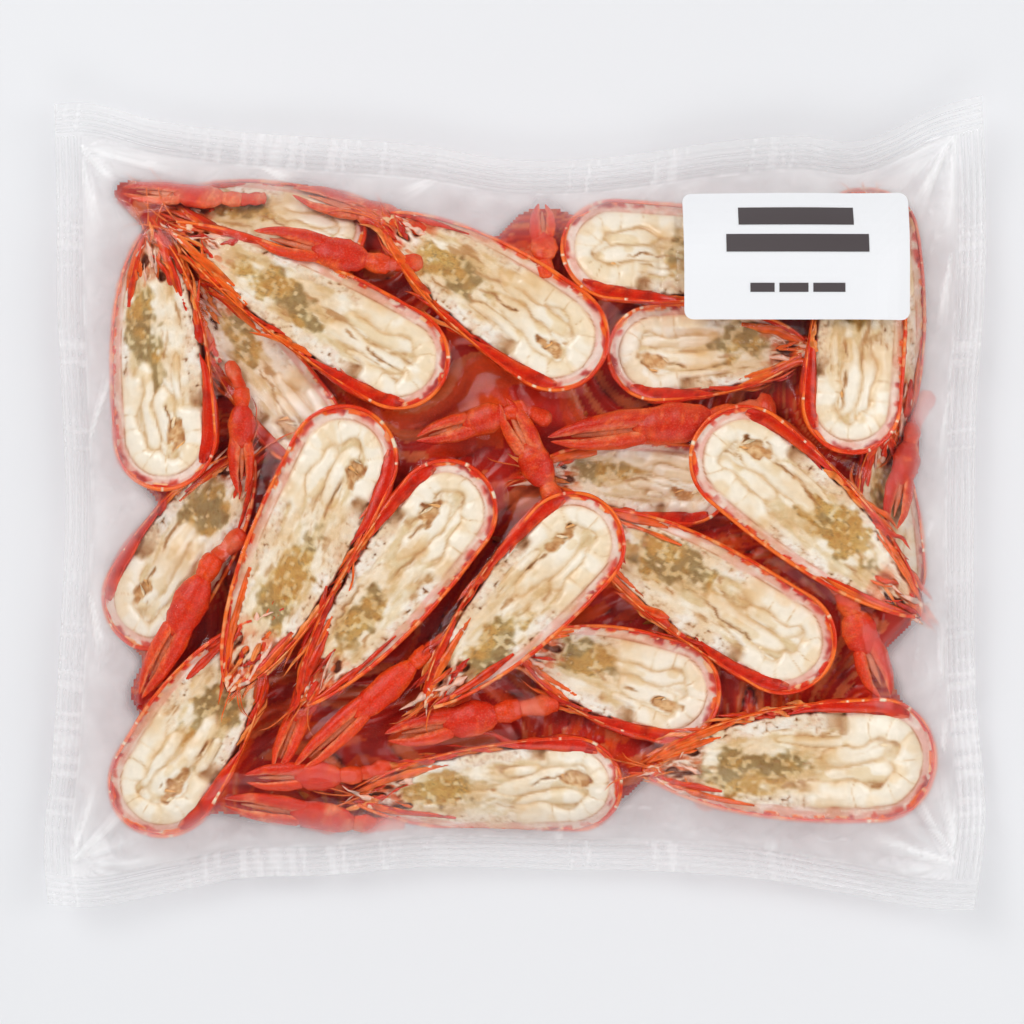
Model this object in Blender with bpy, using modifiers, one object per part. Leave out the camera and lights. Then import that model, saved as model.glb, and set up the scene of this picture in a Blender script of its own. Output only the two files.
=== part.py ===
"""Sealed clear pack of halved cooked crayfish, lying flat, with a paper label.

The pack is one closed body: the film's outside, tight over the halves and claws
inside, with a thin sealed margin all round. The label is a thin plate on top.
All sizes below are in millimetres. +X is the pack's long side, +Y its short side,
+Z points up, and the origin is the middle of the underside.
"""
import bpy
import bmesh
import numpy as np

MM = 0.001

# The pack's outer edge, from the lower left corner round by way of each side.
EDGE_TOP = ((-155, 134), (-147, 134.6), (-121, 129), (-90.5, 125), (-62.5, 123), (-32, 120.5),
            (0, 115.5), (22, 115.7), (42, 117.7), (70, 121.8), (96, 123.5), (117, 122),
            (129, 126.5), (140, 132), (157, 137))
EDGE_BOTTOM = ((-157, -134.7), (-149, -136), (-116.5, -131.6), (-93, -127), (-66, -126),
               (-29, -123), (15, -124), (59, -125), (83, -127), (110, -131.6), (141, -136.7),
               (154.4, -137))
EDGE_LEFT = ((-157, -134.7), (-158.8, -117), (-156.4, -87), (-154.4, -60), (-152.7, -33),
             (-151.7, -6), (-153, 35), (-154.4, 68), (-154.7, 102), (-155, 134))
EDGE_RIGHT = ((154.4, -137), (158.8, -107), (156, -67), (155, -40), (154.8, -16), (156, 35),
              (158.5, 68), (158.8, 112), (157, 137))

BAND_LEFT, BAND_RIGHT, BAND_TOP, BAND_BOTTOM = 8.7, 9.3, 11.0, 10.0   # sealed margins
MARGIN_THICK = 1.3
SEAL_LEVEL = 9.0        # height of the sealed margin's middle
CORNER_LIFT = 5.0       # how far the corners curl up
PACK_LEVEL = 34.0       # height of the film over the middle
SHOULDER = 40.0         # how far in from the seam the film takes to level out
FLAT_CENTRE, FLAT_SIZE = (1.0, -4.5), (244.0, 178.0)    # the part of the underside that rests
FLAT_WAIST = 2.5        # how far its sides bow in
HOLLOW_DEEP = 5.5       # deepest dip between two pieces
SIDE_SLOPE = 0.45       # slope of the film beside a piece
BLEND = 1.1             # how sharply neighbouring pieces meet, per mm

# Each half: tail centre, tail radius, head tip, fullness of the outline, depth below the film.
HALVES = (
    ((-39, 48), 17.0, (-116, 93), 2.0, 1.5), ((13, 55), 18.0, (-45, 96), 2.6, 1.5),
    ((-117, 22), 17.7, (-122, 92), 3.0, 2.0), ((-57, 14), 18.0, (-95, -63), 3.0, 0.5),
    ((-23, -3), 17.0, (-72, -68), 2.4, 0.5), ((19, -14), 17.3, (-30, -68), 2.2, 0.0),
    ((76, 14), 18.0, (137, -38), 2.4, 0.0), ((89, -46), 17.7, (20, -4), 3.2, 3.0),
    ((51, -63), 17.3, (0, -48), 2.6, 5.0), ((19, -95), 16.7, (-55, -99), 2.4, 4.0),
    ((121, -86), 20.7, (42, -89), 2.4, 2.0), ((33, 85), 17.3, (95, 80), 3.0, 3.0),
    ((112, 33), 16.7, (118, 101), 3.0, 1.0), ((118, 88), 18.0, (130, 21), 2.0, 8.0),
    ((-122, -32), 17.3, (-88, 17), 2.6, 7.0), ((-118, -94), 18.3, (-84, -39), 2.6, 2.0),
    ((47, 50), 16.0, (98, 52), 2.6, 6.0), ((-64, 91), 14.0, (-115, 103), 2.6, 7.0),
    ((-72, 27), 14.0, (-108, 74), 2.6, 9.0), ((58, 6), 13.3, (5, 11), 2.6, 9.0),
    ((126, -23), 12.7, (123, 24), 2.6, 8.0),
)

# Each claw: fingertip, wrist, width, height of its back over the halves' level.
CLAWS = (
    ((-87, 89), (-48, 80), 11, 1.2), ((-75, 105), (-35, 93), 10, -2.0),
    ((-132, 105), (-97, 102), 9, -3.0), ((9, 101), (10, 80), 9, -1.0),
    ((-4, 34), (11, 5), 11, -0.5), ((-33, 21), (-2, 30), 10, -2.0),
    ((11, 21), (67, 28), 14, -1.0), ((-91, 3), (-91, 33), 9, -2.0),
    ((-125, -65), (-103, -24), 12, -1.0), ((-80, -90), (-66, -56), 9, -2.0),
    ((-74, -90), (-33, -53), 10, -0.5), ((124, -65), (112, -36), 12, -2.0),
    ((-98, -100), (-53, -108), 11, -3.0), ((-90, -92), (-57, -91), 10, -1.5),
    ((126, -9), (133, 21), 10, -3.0), ((-43, -78), (-5, -70), 12, -0.5),
)

LABEL_CENTRE = (93.5, 81.8)
LABEL_SIZE = (75.0, 42.7)
LABEL_CORNER = 3.0
LABEL_THICK = 0.3
LABEL_GAP = 0.35        # the label floats this far over the film, so the two stay apart

GRID_STEP = 2.5
KEEP_FACES = 9400       # triangles kept in the bag


def through(points, along, t):
    """Smooth curve through the points; along names the coordinate that t runs on."""
    pts = np.array(points, float)
    a, b = pts[:, along], pts[:, 1 - along]
    slope = np.gradient(b, a)
    t = np.clip(t, a[0], a[-1])
    i = np.clip(np.searchsorted(a, t) - 1, 0, len(a) - 2)
    h = a[i + 1] - a[i]
    s = (t - a[i]) / h
    return ((1 + 2 * s) * (1 - s) ** 2 * b[i] + s * (1 - s) ** 2 * h * slope[i]
            + s * s * (3 - 2 * s) * b[i + 1] + s * s * (s - 1) * h * slope[i + 1])


def plan_point(u, v):
    """Where the point at shares u and v across the pack lies in plan."""
    x, y = (u - 0.5) * 312.0, (v - 0.5) * 262.0
    for _ in range(8):
        left, right = through(EDGE_LEFT, 1, y), through(EDGE_RIGHT, 1, y)
        low, high = through(EDGE_BOTTOM, 0, x), through(EDGE_TOP, 0, x)
        x, y = left + (right - left) * u, low + (high - low) * v
    return x, y


def inside_seam(x, y):
    """Distances inward from the seams, across X and across Y. Negative in the margin."""
    dx = np.minimum(x - through(EDGE_LEFT, 1, y) - BAND_LEFT,
                    through(EDGE_RIGHT, 1, y) - x - BAND_RIGHT)
    dy = np.minimum(through(EDGE_TOP, 0, x) - y - BAND_TOP,
                    y - through(EDGE_BOTTOM, 0, x) - BAND_BOTTOM)
    return dx, dy


def rise(d, reach, power=2.5):
    return 1.0 - (1.0 - np.clip(d / reach, 0.0, 1.0)) ** power


def seal_level(x, y):
    """Height of the sealed margin: gentle waves, and corners that curl up."""
    z = SEAL_LEVEL + 1.3 * np.sin(x / 23.0 + 0.6) * np.cos(y / 31.0) + 0.8 * np.sin(y / 17.0 + x / 60.0)
    for sx, sy, lift in ((-1, 1, 1.0), (1, 1, 1.2), (1, -1, 1.1), (-1, -1, 0.8)):
        r2 = (x - sx * 156.0) ** 2 + (y - sy * 135.0) ** 2
        z = z + CORNER_LIFT * lift * np.exp(-r2 / 22.0 ** 2)
    return z


def half_outside(x, y, centre, radius, head, full):
    """Distance outside the outline of one half: a round tail that tapers to the head."""
    ax, ay = head[0] - centre[0], head[1] - centre[1]
    length = np.hypot(ax, ay)
    along = ((x - centre[0]) * ax + (y - centre[1]) * ay) / length
    across = np.abs((y - centre[1]) * ax - (x - centre[0]) * ay) / length
    width = radius * np.maximum(0.0, 1.0 - np.clip(along / length, 0.0, 1.0) ** full) ** 0.75
    side = np.where(along > length, np.hypot(along - length, across), across - width)
    return np.where(along < 0.0, np.hypot(along, across) - radius, side)


def claw_outside(x, y, tip, wrist):
    """Distance from the middle line of one claw."""
    ax, ay = wrist[0] - tip[0], wrist[1] - tip[1]
    t = np.clip(((x - tip[0]) * ax + (y - tip[1]) * ay) / (ax * ax + ay * ay), 0.0, 1.0)
    return np.hypot(x - tip[0] - t * ax, y - tip[1] - t * ay)


def relief(x, y):
    """Height of the film over its level, as it hugs the halves and the claws."""
    total = np.exp(np.full_like(x, -HOLLOW_DEEP * BLEND))
    for centre, radius, head, full, drop in HALVES:
        out = np.maximum(0.0, half_outside(x, y, centre, radius, head, full))
        total += np.exp(BLEND * (-drop - SIDE_SLOPE * out))
    for tip, wrist, width, top in CLAWS:
        out = claw_outside(x, y, tip, wrist)
        half = 0.5 * width
        back = top - 0.12 * half * np.minimum(out / half, 1.0) ** 2
        total += np.exp(BLEND * (back - SIDE_SLOPE * 1.2 * np.maximum(0.0, out - half)))
    lift = np.log(total) / BLEND
    # Under the label the film is stretched smooth.
    lx = np.abs(x - LABEL_CENTRE[0]) - LABEL_SIZE[0] / 2 - 1.0
    ly = np.abs(y - LABEL_CENTRE[1]) - LABEL_SIZE[1] / 2 - 1.0
    away = np.clip(np.maximum(lx, ly) / 7.0, 0.0, 1.0)
    smooth = away * away * (3.0 - 2.0 * away)
    return 0.4 + (lift - 0.4) * smooth


def corner_creases(x, y):
    """Folds that run in from the corners of the seam."""
    z = np.zeros_like(x)
    folds = (((148, 122), (130, 98), 2.2, 3.2), ((149, 118), (134, 70), 1.6, 3.5),
             ((150, -122), (132, -100), 2.4, 3.2), ((146, -125), (100, -108), 1.8, 3.5),
             ((-147, 121), (-130, 100), 1.8, 3.2), ((-147, -121), (-128, -104), 1.8, 3.2),
             ((-30, 109), (-28, 96), 1.6, 2.6), ((0, 105), (2, 95), 1.5, 2.6),
             ((46, 106), (44, 97), 1.5, 2.6), ((-97, -117), (-94, -103), 1.6, 2.6),
             ((86, -117), (84, -105), 1.6, 2.6))
    for start, end, deep, wide in folds:
        ax, ay = end[0] - start[0], end[1] - start[1]
        t = ((x - start[0]) * ax + (y - start[1]) * ay) / (ax * ax + ay * ay)
        off = np.abs((x - start[0]) * ay - (y - start[1]) * ax) / np.hypot(ax, ay)
        fade = np.clip(1.0 - t, 0.0, 1.0) * np.clip((t + 0.25) * 4.0, 0.0, 1.0)
        z -= deep * fade * np.exp(-(off / wide) ** 2)
    return z


def film_over(x, y):
    """Height of the upper film."""
    dx, dy = inside_seam(x, y)
    share = rise(dx, SHOULDER) * rise(dy, SHOULDER)
    base = seal_level(x, y) + 0.5 * MARGIN_THICK
    hug = np.clip(share * 1.3, 0.0, 1.0)
    return base + (PACK_LEVEL - base) * share + hug * relief(x, y) \
        + corner_creases(x, y) * np.clip(share * 3.0, 0.0, 1.0)


def beyond_flat(x, y):
    """Distances beyond the edges of the flat that the pack rests on, across X and across Y.
    Its sides bow in a little, like the pack's own, so that it rests on its four corners."""
    tx, ty = ((value - centre) / (size / 2) for value, centre, size in zip((x, y), FLAT_CENTRE, FLAT_SIZE))
    return ((np.abs(tx) - 1.0) * FLAT_SIZE[0] / 2 + FLAT_WAIST * (1.0 - ty ** 2),
            (np.abs(ty) - 1.0) * FLAT_SIZE[1] / 2 + FLAT_WAIST * (1.0 - tx ** 2))


def film_under(x, y):
    """Height of the lower film: flat on the ground, then rising to the margin."""
    share = 1.0
    for inward, past in zip(inside_seam(x, y), beyond_flat(x, y)):
        past = np.maximum(past, 0.0)
        out = past / np.maximum(past + np.maximum(inward, 0.0), 0.1)
        share = share * (1.0 - 0.7 * out - 0.3 * out ** 2)
    return (seal_level(x, y) - 0.5 * MARGIN_THICK) * (1.0 - share)


def on_flat_edge(x, y):
    """The lower film's points, with those nearest the flat's edges moved onto them."""
    for _ in range(3):
        px, py = beyond_flat(x, y)
        x = np.where(np.abs(px) < 0.5 * GRID_STEP, x - px * np.sign(x - FLAT_CENTRE[0]), x)
        y = np.where(np.abs(py) < 0.5 * GRID_STEP, y - py * np.sign(y - FLAT_CENTRE[1]), y)
    return x, y


def film_level(x, y):
    """Height of the upper film with the hollows left out: what the label lies on."""
    dx, dy = inside_seam(x, y)
    share = rise(dx, SHOULDER) * rise(dy, SHOULDER)
    base = seal_level(x, y) + 0.5 * MARGIN_THICK
    return base + (PACK_LEVEL - base) * share + np.clip(share * 1.3, 0.0, 1.0) * 0.4


def collection(name):
    made = bpy.data.collections.new(name)
    bpy.context.scene.collection.children.link(made)
    return made


def surface(name, colour, roughness, coat=0.0):
    mat = bpy.data.materials.new(name)
    mat.use_nodes = True
    shader = mat.node_tree.nodes["Principled BSDF"]
    shader.inputs["Base Color"].default_value = (*colour, 1.0)
    shader.inputs["Roughness"].default_value = roughness
    shader.inputs["Metallic"].default_value = 0.0
    shader.inputs["Coat Weight"].default_value = coat
    mat.diffuse_color = (*colour, 1.0)
    return mat


def coordinates(verts):
    return np.array([v.co[:] for v in verts])


def sheet(bm, across, up, height):
    """One sheet of the bag: a flat grid, laid out in plan and lifted to its height."""
    made = bmesh.ops.create_grid(bm, x_segments=across, y_segments=up, size=0.5)["verts"]
    flat = coordinates(made)
    x, y = plan_point(flat[:, 0] + 0.5, flat[:, 1] + 0.5)
    if height is film_under:
        x, y = on_flat_edge(x, y)
    z = height(x, y)
    for vert, px, py, pz in zip(made, x, y, z):
        vert.co = (px * MM, py * MM, pz * MM)
    return made


def build_bag(parts):
    across, up = round(318 / GRID_STEP), round(274 / GRID_STEP)
    bm = bmesh.new()
    under = sheet(bm, across, up, film_under)
    faces_under = {f for v in under for f in v.link_faces}
    bmesh.ops.reverse_faces(bm, faces=list(faces_under))
    sheet(bm, across, up, film_over)
    rim = [e for e in bm.edges if len(e.link_faces) == 1]
    bmesh.ops.bridge_loops(bm, edges=rim)
    bmesh.ops.recalc_face_normals(bm, faces=bm.faces[:])
    bmesh.ops.triangulate(bm, faces=bm.faces[:])
    faces = len(bm.faces)
    mesh = bpy.data.meshes.new("bag")
    bm.to_mesh(mesh)
    bm.free()
    bag = bpy.data.objects.new("bag", mesh)
    parts.objects.link(bag)
    thin = bag.modifiers.new("fewer faces", "DECIMATE")
    thin.decimate_type = "COLLAPSE"
    thin.ratio = KEEP_FACES / faces
    thin.use_collapse_triangulate = True
    bag.data.materials.append(surface("bag", (0.62, 0.16, 0.07), 0.22, 0.6))
    return bag


def build_label(parts):
    bm = bmesh.new()
    wide, high = LABEL_SIZE
    bmesh.ops.create_grid(bm, x_segments=20, y_segments=12, size=0.5)
    for v in bm.verts:
        v.co = (v.co.x * wide * MM, v.co.y * high * MM, 0.0)
    corners = [v for v in bm.verts if len(v.link_faces) == 1]
    bmesh.ops.bevel(bm, geom=corners, offset=LABEL_CORNER * MM, segments=5, profile=0.5,
                    affect="VERTICES")
    bmesh.ops.triangulate(bm, faces=[f for f in bm.faces if len(f.verts) > 4])
    flat = coordinates(bm.verts)
    x, y = flat[:, 0] / MM + LABEL_CENTRE[0], flat[:, 1] / MM + LABEL_CENTRE[1]
    z = film_level(x, y) + LABEL_GAP
    for vert, px, py, pz in zip(bm.verts, x, y, z):
        vert.co = (px * MM, py * MM, pz * MM)
    bmesh.ops.recalc_face_normals(bm, faces=bm.faces[:])
    if sum(f.normal.z for f in bm.faces) < 0.0:
        bmesh.ops.reverse_faces(bm, faces=bm.faces[:])
    mesh = bpy.data.meshes.new("label")
    bm.to_mesh(mesh)
    bm.free()
    label = bpy.data.objects.new("label", mesh)
    parts.objects.link(label)
    body = label.modifiers.new("thickness", "SOLIDIFY")
    body.thickness = LABEL_THICK * MM
    body.offset = 1.0
    label.data.materials.append(surface("label", (0.84, 0.85, 0.87), 0.45))
    return label


def main():
    for thing in list(bpy.data.objects):
        bpy.data.objects.remove(thing, do_unlink=True)
    parts = collection("sealed_bag_of_halved_cooked_crayfish")
    build_bag(parts)
    build_label(parts)


main()
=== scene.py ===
"""Looks of the sealed pack of halved cooked crayfish: clear film, cut faces, shells,
claws, legs, the label's print, and the plain pale ground it lies on.

Sizes are in millimetres until a mesh is made. +X runs along the pack, +Y towards the
label, +Z up, and the origin is the middle of the underside.
"""

import bpy
import numpy as np
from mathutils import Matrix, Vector


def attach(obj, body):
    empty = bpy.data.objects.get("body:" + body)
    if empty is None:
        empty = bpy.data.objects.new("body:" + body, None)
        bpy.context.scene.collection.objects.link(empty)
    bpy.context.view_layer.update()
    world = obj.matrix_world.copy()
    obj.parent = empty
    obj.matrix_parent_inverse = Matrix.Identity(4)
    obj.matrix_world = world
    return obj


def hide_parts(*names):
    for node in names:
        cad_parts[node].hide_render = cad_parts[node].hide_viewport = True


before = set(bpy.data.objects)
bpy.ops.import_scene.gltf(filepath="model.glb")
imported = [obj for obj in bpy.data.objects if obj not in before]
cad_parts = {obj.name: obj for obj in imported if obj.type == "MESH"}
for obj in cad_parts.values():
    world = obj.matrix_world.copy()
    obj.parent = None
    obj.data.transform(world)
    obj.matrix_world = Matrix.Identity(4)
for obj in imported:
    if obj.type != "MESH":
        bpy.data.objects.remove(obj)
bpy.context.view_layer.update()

MM = 0.001

# The layout, the same as the part's: the seam's outer edges as points in plan, the seam's width on
# each side, then the heights and lengths that the film's form is made from.

EDGE_TOP = ((-155, 134), (-147, 134.6), (-121, 129), (-90.5, 125), (-62.5, 123), (-32, 120.5),
            (0, 115.5), (22, 115.7), (42, 117.7), (70, 121.8), (96, 123.5), (117, 122),
            (129, 126.5), (140, 132), (157, 137))
EDGE_BOTTOM = ((-157, -134.7), (-149, -136), (-116.5, -131.6), (-93, -127), (-66, -126),
               (-29, -123), (15, -124), (59, -125), (83, -127), (110, -131.6), (141, -136.7),
               (154.4, -137))
EDGE_LEFT = ((-157, -134.7), (-158.8, -117), (-156.4, -87), (-154.4, -60), (-152.7, -33),
             (-151.7, -6), (-153, 35), (-154.4, 68), (-154.7, 102), (-155, 134))
EDGE_RIGHT = ((154.4, -137), (158.8, -107), (156, -67), (155, -40), (154.8, -16), (156, 35),
              (158.5, 68), (158.8, 112), (157, 137))
BAND_LEFT, BAND_RIGHT, BAND_TOP, BAND_BOTTOM = 8.7, 9.3, 11.0, 10.0
# A first guess at the pack's reach, from which plan points are worked out in a few rounds.
PACK_LONG, PACK_DEEP, PLAN_ROUNDS = 312.0, 262.0, 8
SEAL_LEVEL, SEAL_HALF, CORNER_LIFT, PACK_LEVEL, SHOULDER = 9.0, 0.65, 5.0, 34.0, 40.0
FLAT_CENTRE, FLAT_SIZE, FLAT_WAIST = (1.0, -4.5), (244.0, 178.0), 2.5
HOLLOW_DEEP, SIDE_SLOPE, BLEND = 5.5, 0.45, 1.1
LABEL_CENTRE, LABEL_SIZE = (93.5, 81.8), (75.0, 42.7)

# Halves on top: tail centre, tail radius, head tip, fullness, depth below the film, side that
# the tail fan is on (1 left of the way to the head, -1 right of it), and how the tail's curl
# looks: 0 open with small limbs in it, 1 filled with meat.
HALVES = (
    ((-39, 48), 17.0, (-116, 93), 2.0, 1.5, 1, 1), ((13, 55), 18.0, (-45, 96), 2.6, 1.5, 1, 0),
    ((-117, 22), 17.7, (-122, 92), 3.0, 2.0, -1, 0), ((-57, 14), 18.0, (-95, -63), 3.0, 0.5, 1, 0),
    ((-23, -3), 17.0, (-72, -68), 2.4, 0.5, -1, 0), ((19, -14), 17.3, (-30, -68), 2.2, 0.0, -1, 0),
    ((76, 14), 18.0, (137, -38), 2.4, 0.0, 1, 0), ((89, -46), 17.7, (20, -4), 3.2, 3.0, 1, 1),
    ((51, -63), 17.3, (0, -48), 2.6, 5.0, 1, 0), ((19, -95), 16.7, (-55, -99), 2.4, 4.0, -1, 0),
    ((121, -86), 20.7, (42, -89), 2.4, 2.0, -1, 1), ((33, 85), 17.3, (95, 80), 3.0, 3.0, -1, 1),
    ((112, 33), 16.7, (118, 101), 3.0, 1.0, 1, 1), ((118, 88), 18.0, (130, 21), 2.0, 8.0, -1, 0),
    ((-122, -32), 17.3, (-88, 17), 2.6, 7.0, 1, 0), ((-118, -94), 18.3, (-84, -39), 2.6, 2.0, -1, 0),
    ((47, 50), 16.0, (98, 52), 2.6, 6.0, -1, 0), ((-64, 91), 14.0, (-115, 103), 2.6, 7.0, 1, 0),
    ((-72, 27), 14.0, (-108, 74), 2.6, 9.0, 1, 0), ((58, 6), 13.3, (5, 11), 2.6, 9.0, 1, 0),
    ((126, -23), 12.7, (123, 24), 2.6, 8.0, 1, 0),
)

# Claws on top: fingertip, wrist, width, height of the back, how pale it is, turn of the arm.
CLAWS = (
    ((-87, 89), (-48, 80), 11, 1.2, 0.1, 18), ((-75, 105), (-35, 93), 10, -2.0, 0.6, -10),
    ((-132, 105), (-97, 102), 9, -1.5, 0.6, 10), ((9, 101), (10, 80), 9, -1.0, 0.3, 0),
    ((-4, 34), (11, 5), 11, -0.5, 0.4, 30), ((-33, 21), (-2, 30), 10, -2.0, 0.2, -40),
    ((11, 21), (67, 28), 14, -1.0, 0.2, 10), ((-91, 3), (-91, 33), 9, -2.0, 0.2, 25),
    ((-125, -65), (-103, -24), 12, -1.0, 0.0, -20), ((-80, -90), (-66, -56), 9, -2.0, 0.1, 10),
    ((-74, -90), (-33, -53), 10, -0.5, 0.0, -10), ((124, -65), (112, -36), 12, -2.0, 0.2, 20),
    ((-98, -100), (-53, -108), 11, -2.0, 0.6, 15), ((-90, -92), (-57, -91), 10, -1.5, 0.0, 10),
    ((126, -9), (133, 21), 10, -3.0, 0.3, -15), ((-43, -78), (-5, -70), 12, -0.5, 0.0, -5),
)


# Small helpers.

def through(points, along, t):
    """Smooth curve through the points; along names the coordinate that t runs on."""
    pts = np.array(points, float)
    a, b = pts[:, along], pts[:, 1 - along]
    slope = np.gradient(b, a)
    t = np.clip(t, a[0], a[-1])
    i = np.clip(np.searchsorted(a, t) - 1, 0, len(a) - 2)
    h = a[i + 1] - a[i]
    s = (t - a[i]) / h
    return ((1 + 2 * s) * (1 - s) ** 2 * b[i] + s * (1 - s) ** 2 * h * slope[i]
            + s * s * (3 - 2 * s) * b[i + 1] + s * s * (s - 1) * h * slope[i + 1])


def plan_point(u, v):
    """Where the point at shares u and v across the pack lies in plan."""
    x, y = (u - 0.5) * PACK_LONG, (v - 0.5) * PACK_DEEP
    for _ in range(PLAN_ROUNDS):
        left, right = through(EDGE_LEFT, 1, y), through(EDGE_RIGHT, 1, y)
        low, high = through(EDGE_BOTTOM, 0, x), through(EDGE_TOP, 0, x)
        x, y = left + (right - left) * u, low + (high - low) * v
    return x, y


def inside_seam(x, y):
    """Distances inward from the seams, across X and across Y. Negative in the margin."""
    dx = np.minimum(x - through(EDGE_LEFT, 1, y) - BAND_LEFT,
                    through(EDGE_RIGHT, 1, y) - x - BAND_RIGHT)
    dy = np.minimum(through(EDGE_TOP, 0, x) - y - BAND_TOP,
                    y - through(EDGE_BOTTOM, 0, x) - BAND_BOTTOM)
    return dx, dy


def rise(d, reach, power=2.5):
    """How far the film has risen at a distance d from the seam: 0 there, 1 at the reach."""
    return 1.0 - (1.0 - np.clip(d / reach, 0.0, 1.0)) ** power


def ease(a, b, t):
    """0 up to a, 1 from b on, smooth between."""
    s = np.clip((t - a) / (b - a), 0.0, 1.0)
    return s * s * (3.0 - 2.0 * s)


def scatter(ix, iy, seed):
    """A fixed random number from 0 to 1 for each cell of a grid."""
    h = np.sin(ix * 127.1 + iy * 311.7 + seed * 74.7) * 43758.5453
    return h - np.floor(h)


def cloud(x, y, seed):
    """Smooth random field, 0 to 1, with features one unit wide."""
    ix, iy = np.floor(x), np.floor(y)
    tx, ty = x - ix, y - iy
    tx, ty = tx * tx * (3 - 2 * tx), ty * ty * (3 - 2 * ty)
    low = scatter(ix, iy, seed) * (1 - tx) + scatter(ix + 1, iy, seed) * tx
    high = scatter(ix, iy + 1, seed) * (1 - tx) + scatter(ix + 1, iy + 1, seed) * tx
    return low * (1 - ty) + high * ty


def clouds(x, y, seed):
    """Three sizes of cloud added up."""
    return (cloud(x, y, seed) * 0.55 + cloud(x * 2.1, y * 2.1, seed + 5) * 0.3
            + cloud(x * 4.3, y * 4.3, seed + 9) * 0.15)


def lumps(x, y, seed):
    """Random cells: distance to the nearest middle, to the next, and the cell's own number."""
    ix, iy = np.floor(x), np.floor(y)
    first = np.full_like(x, 9.0)
    second = np.full_like(x, 9.0)
    mark = np.zeros_like(x)
    for ox in (-1, 0, 1):
        for oy in (-1, 0, 1):
            cx = ix + ox + 0.15 + 0.7 * scatter(ix + ox, iy + oy, seed)
            cy = iy + oy + 0.15 + 0.7 * scatter(ix + ox, iy + oy, seed + 3)
            d = np.hypot(x - cx, y - cy)
            near = d < first
            second = np.where(near, first, np.minimum(second, d))
            mark = np.where(near, scatter(ix + ox, iy + oy, seed + 7), mark)
            first = np.where(near, d, first)
    return first, second, mark


def curve(points, count):
    """Evenly numbered points on a smooth path through the given ones."""
    pts = np.array(points, float)
    t = np.arange(len(pts))
    slope = np.gradient(pts, axis=0)
    s = np.linspace(0, len(pts) - 1, count)
    i = np.clip(s.astype(int), 0, len(pts) - 2)
    f = (s - t[i])[:, None]
    return ((1 + 2 * f) * (1 - f) ** 2 * pts[i] + f * (1 - f) ** 2 * slope[i]
            + f * f * (3 - 2 * f) * pts[i + 1] + f * f * (f - 1) * slope[i + 1])


# The film's form.

def seal_level(x, y):
    """Height of the sealed margin, which waves a little and curls up at the corners."""
    z = SEAL_LEVEL + 1.3 * np.sin(x / 23.0 + 0.6) * np.cos(y / 31.0) + 0.8 * np.sin(y / 17.0 + x / 60.0)
    for sx, sy, lift in ((-1, 1, 1.0), (1, 1, 1.2), (1, -1, 1.1), (-1, -1, 0.8)):
        r2 = (x - sx * 156.0) ** 2 + (y - sy * 135.0) ** 2
        z = z + CORNER_LIFT * lift * np.exp(-r2 / 22.0 ** 2)
    return z


def half_outside(x, y, centre, radius, head, full):
    """Distance outside the outline of one half: a round tail that tapers to the head."""
    ax, ay = head[0] - centre[0], head[1] - centre[1]
    length = np.hypot(ax, ay)
    along = ((x - centre[0]) * ax + (y - centre[1]) * ay) / length
    across = np.abs((y - centre[1]) * ax - (x - centre[0]) * ay) / length
    width = radius * np.maximum(0.0, 1.0 - np.clip(along / length, 0.0, 1.0) ** full) ** 0.75
    side = np.where(along > length, np.hypot(along - length, across), across - width)
    return np.where(along < 0.0, np.hypot(along, across) - radius, side)


def claw_outside(x, y, tip, wrist):
    """Distance from the line through a claw."""
    ax, ay = wrist[0] - tip[0], wrist[1] - tip[1]
    t = np.clip(((x - tip[0]) * ax + (y - tip[1]) * ay) / (ax * ax + ay * ay), 0.0, 1.0)
    return np.hypot(x - tip[0] - t * ax, y - tip[1] - t * ay)


def relief(x, y):
    """Height of the film over its level, as it hugs the halves and the claws."""
    total = np.exp(np.full_like(x, -HOLLOW_DEEP * BLEND))
    for centre, radius, head, full, drop, _, _ in HALVES:
        out = np.maximum(0.0, half_outside(x, y, centre, radius, head, full))
        total += np.exp(BLEND * (-drop - SIDE_SLOPE * out))
    for tip, wrist, width, top, _, _ in CLAWS:
        out = claw_outside(x, y, tip, wrist)
        half = 0.5 * width
        back = top - 0.12 * half * np.minimum(out / half, 1.0) ** 2
        total += np.exp(BLEND * (back - SIDE_SLOPE * 1.2 * np.maximum(0.0, out - half)))
    lift = np.log(total) / BLEND
    lx = np.abs(x - LABEL_CENTRE[0]) - LABEL_SIZE[0] / 2 - 1.0
    ly = np.abs(y - LABEL_CENTRE[1]) - LABEL_SIZE[1] / 2 - 1.0
    return 0.4 + (lift - 0.4) * ease(0.0, 7.0, np.maximum(lx, ly))


def corner_creases(x, y):
    """Folds that run in from the corners and edges of the seam."""
    z = np.zeros_like(x)
    folds = (((148, 122), (130, 98), 2.2, 3.2), ((149, 118), (134, 70), 1.6, 3.5),
             ((150, -122), (132, -100), 2.4, 3.2), ((146, -125), (100, -108), 1.8, 3.5),
             ((-147, 121), (-130, 100), 1.8, 3.2), ((-147, -121), (-128, -104), 1.8, 3.2),
             ((-30, 109), (-28, 96), 1.6, 2.6), ((0, 105), (2, 95), 1.5, 2.6),
             ((46, 106), (44, 97), 1.5, 2.6), ((-97, -117), (-94, -103), 1.6, 2.6),
             ((86, -117), (84, -105), 1.6, 2.6))
    for start, end, deep, wide in folds:
        ax, ay = end[0] - start[0], end[1] - start[1]
        t = ((x - start[0]) * ax + (y - start[1]) * ay) / (ax * ax + ay * ay)
        off = np.abs((x - start[0]) * ay - (y - start[1]) * ax) / np.hypot(ax, ay)
        fade = np.clip(1.0 - t, 0.0, 1.0) * np.clip((t + 0.25) * 4.0, 0.0, 1.0)
        z -= deep * fade * np.exp(-(off / wide) ** 2)
    return z


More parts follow.
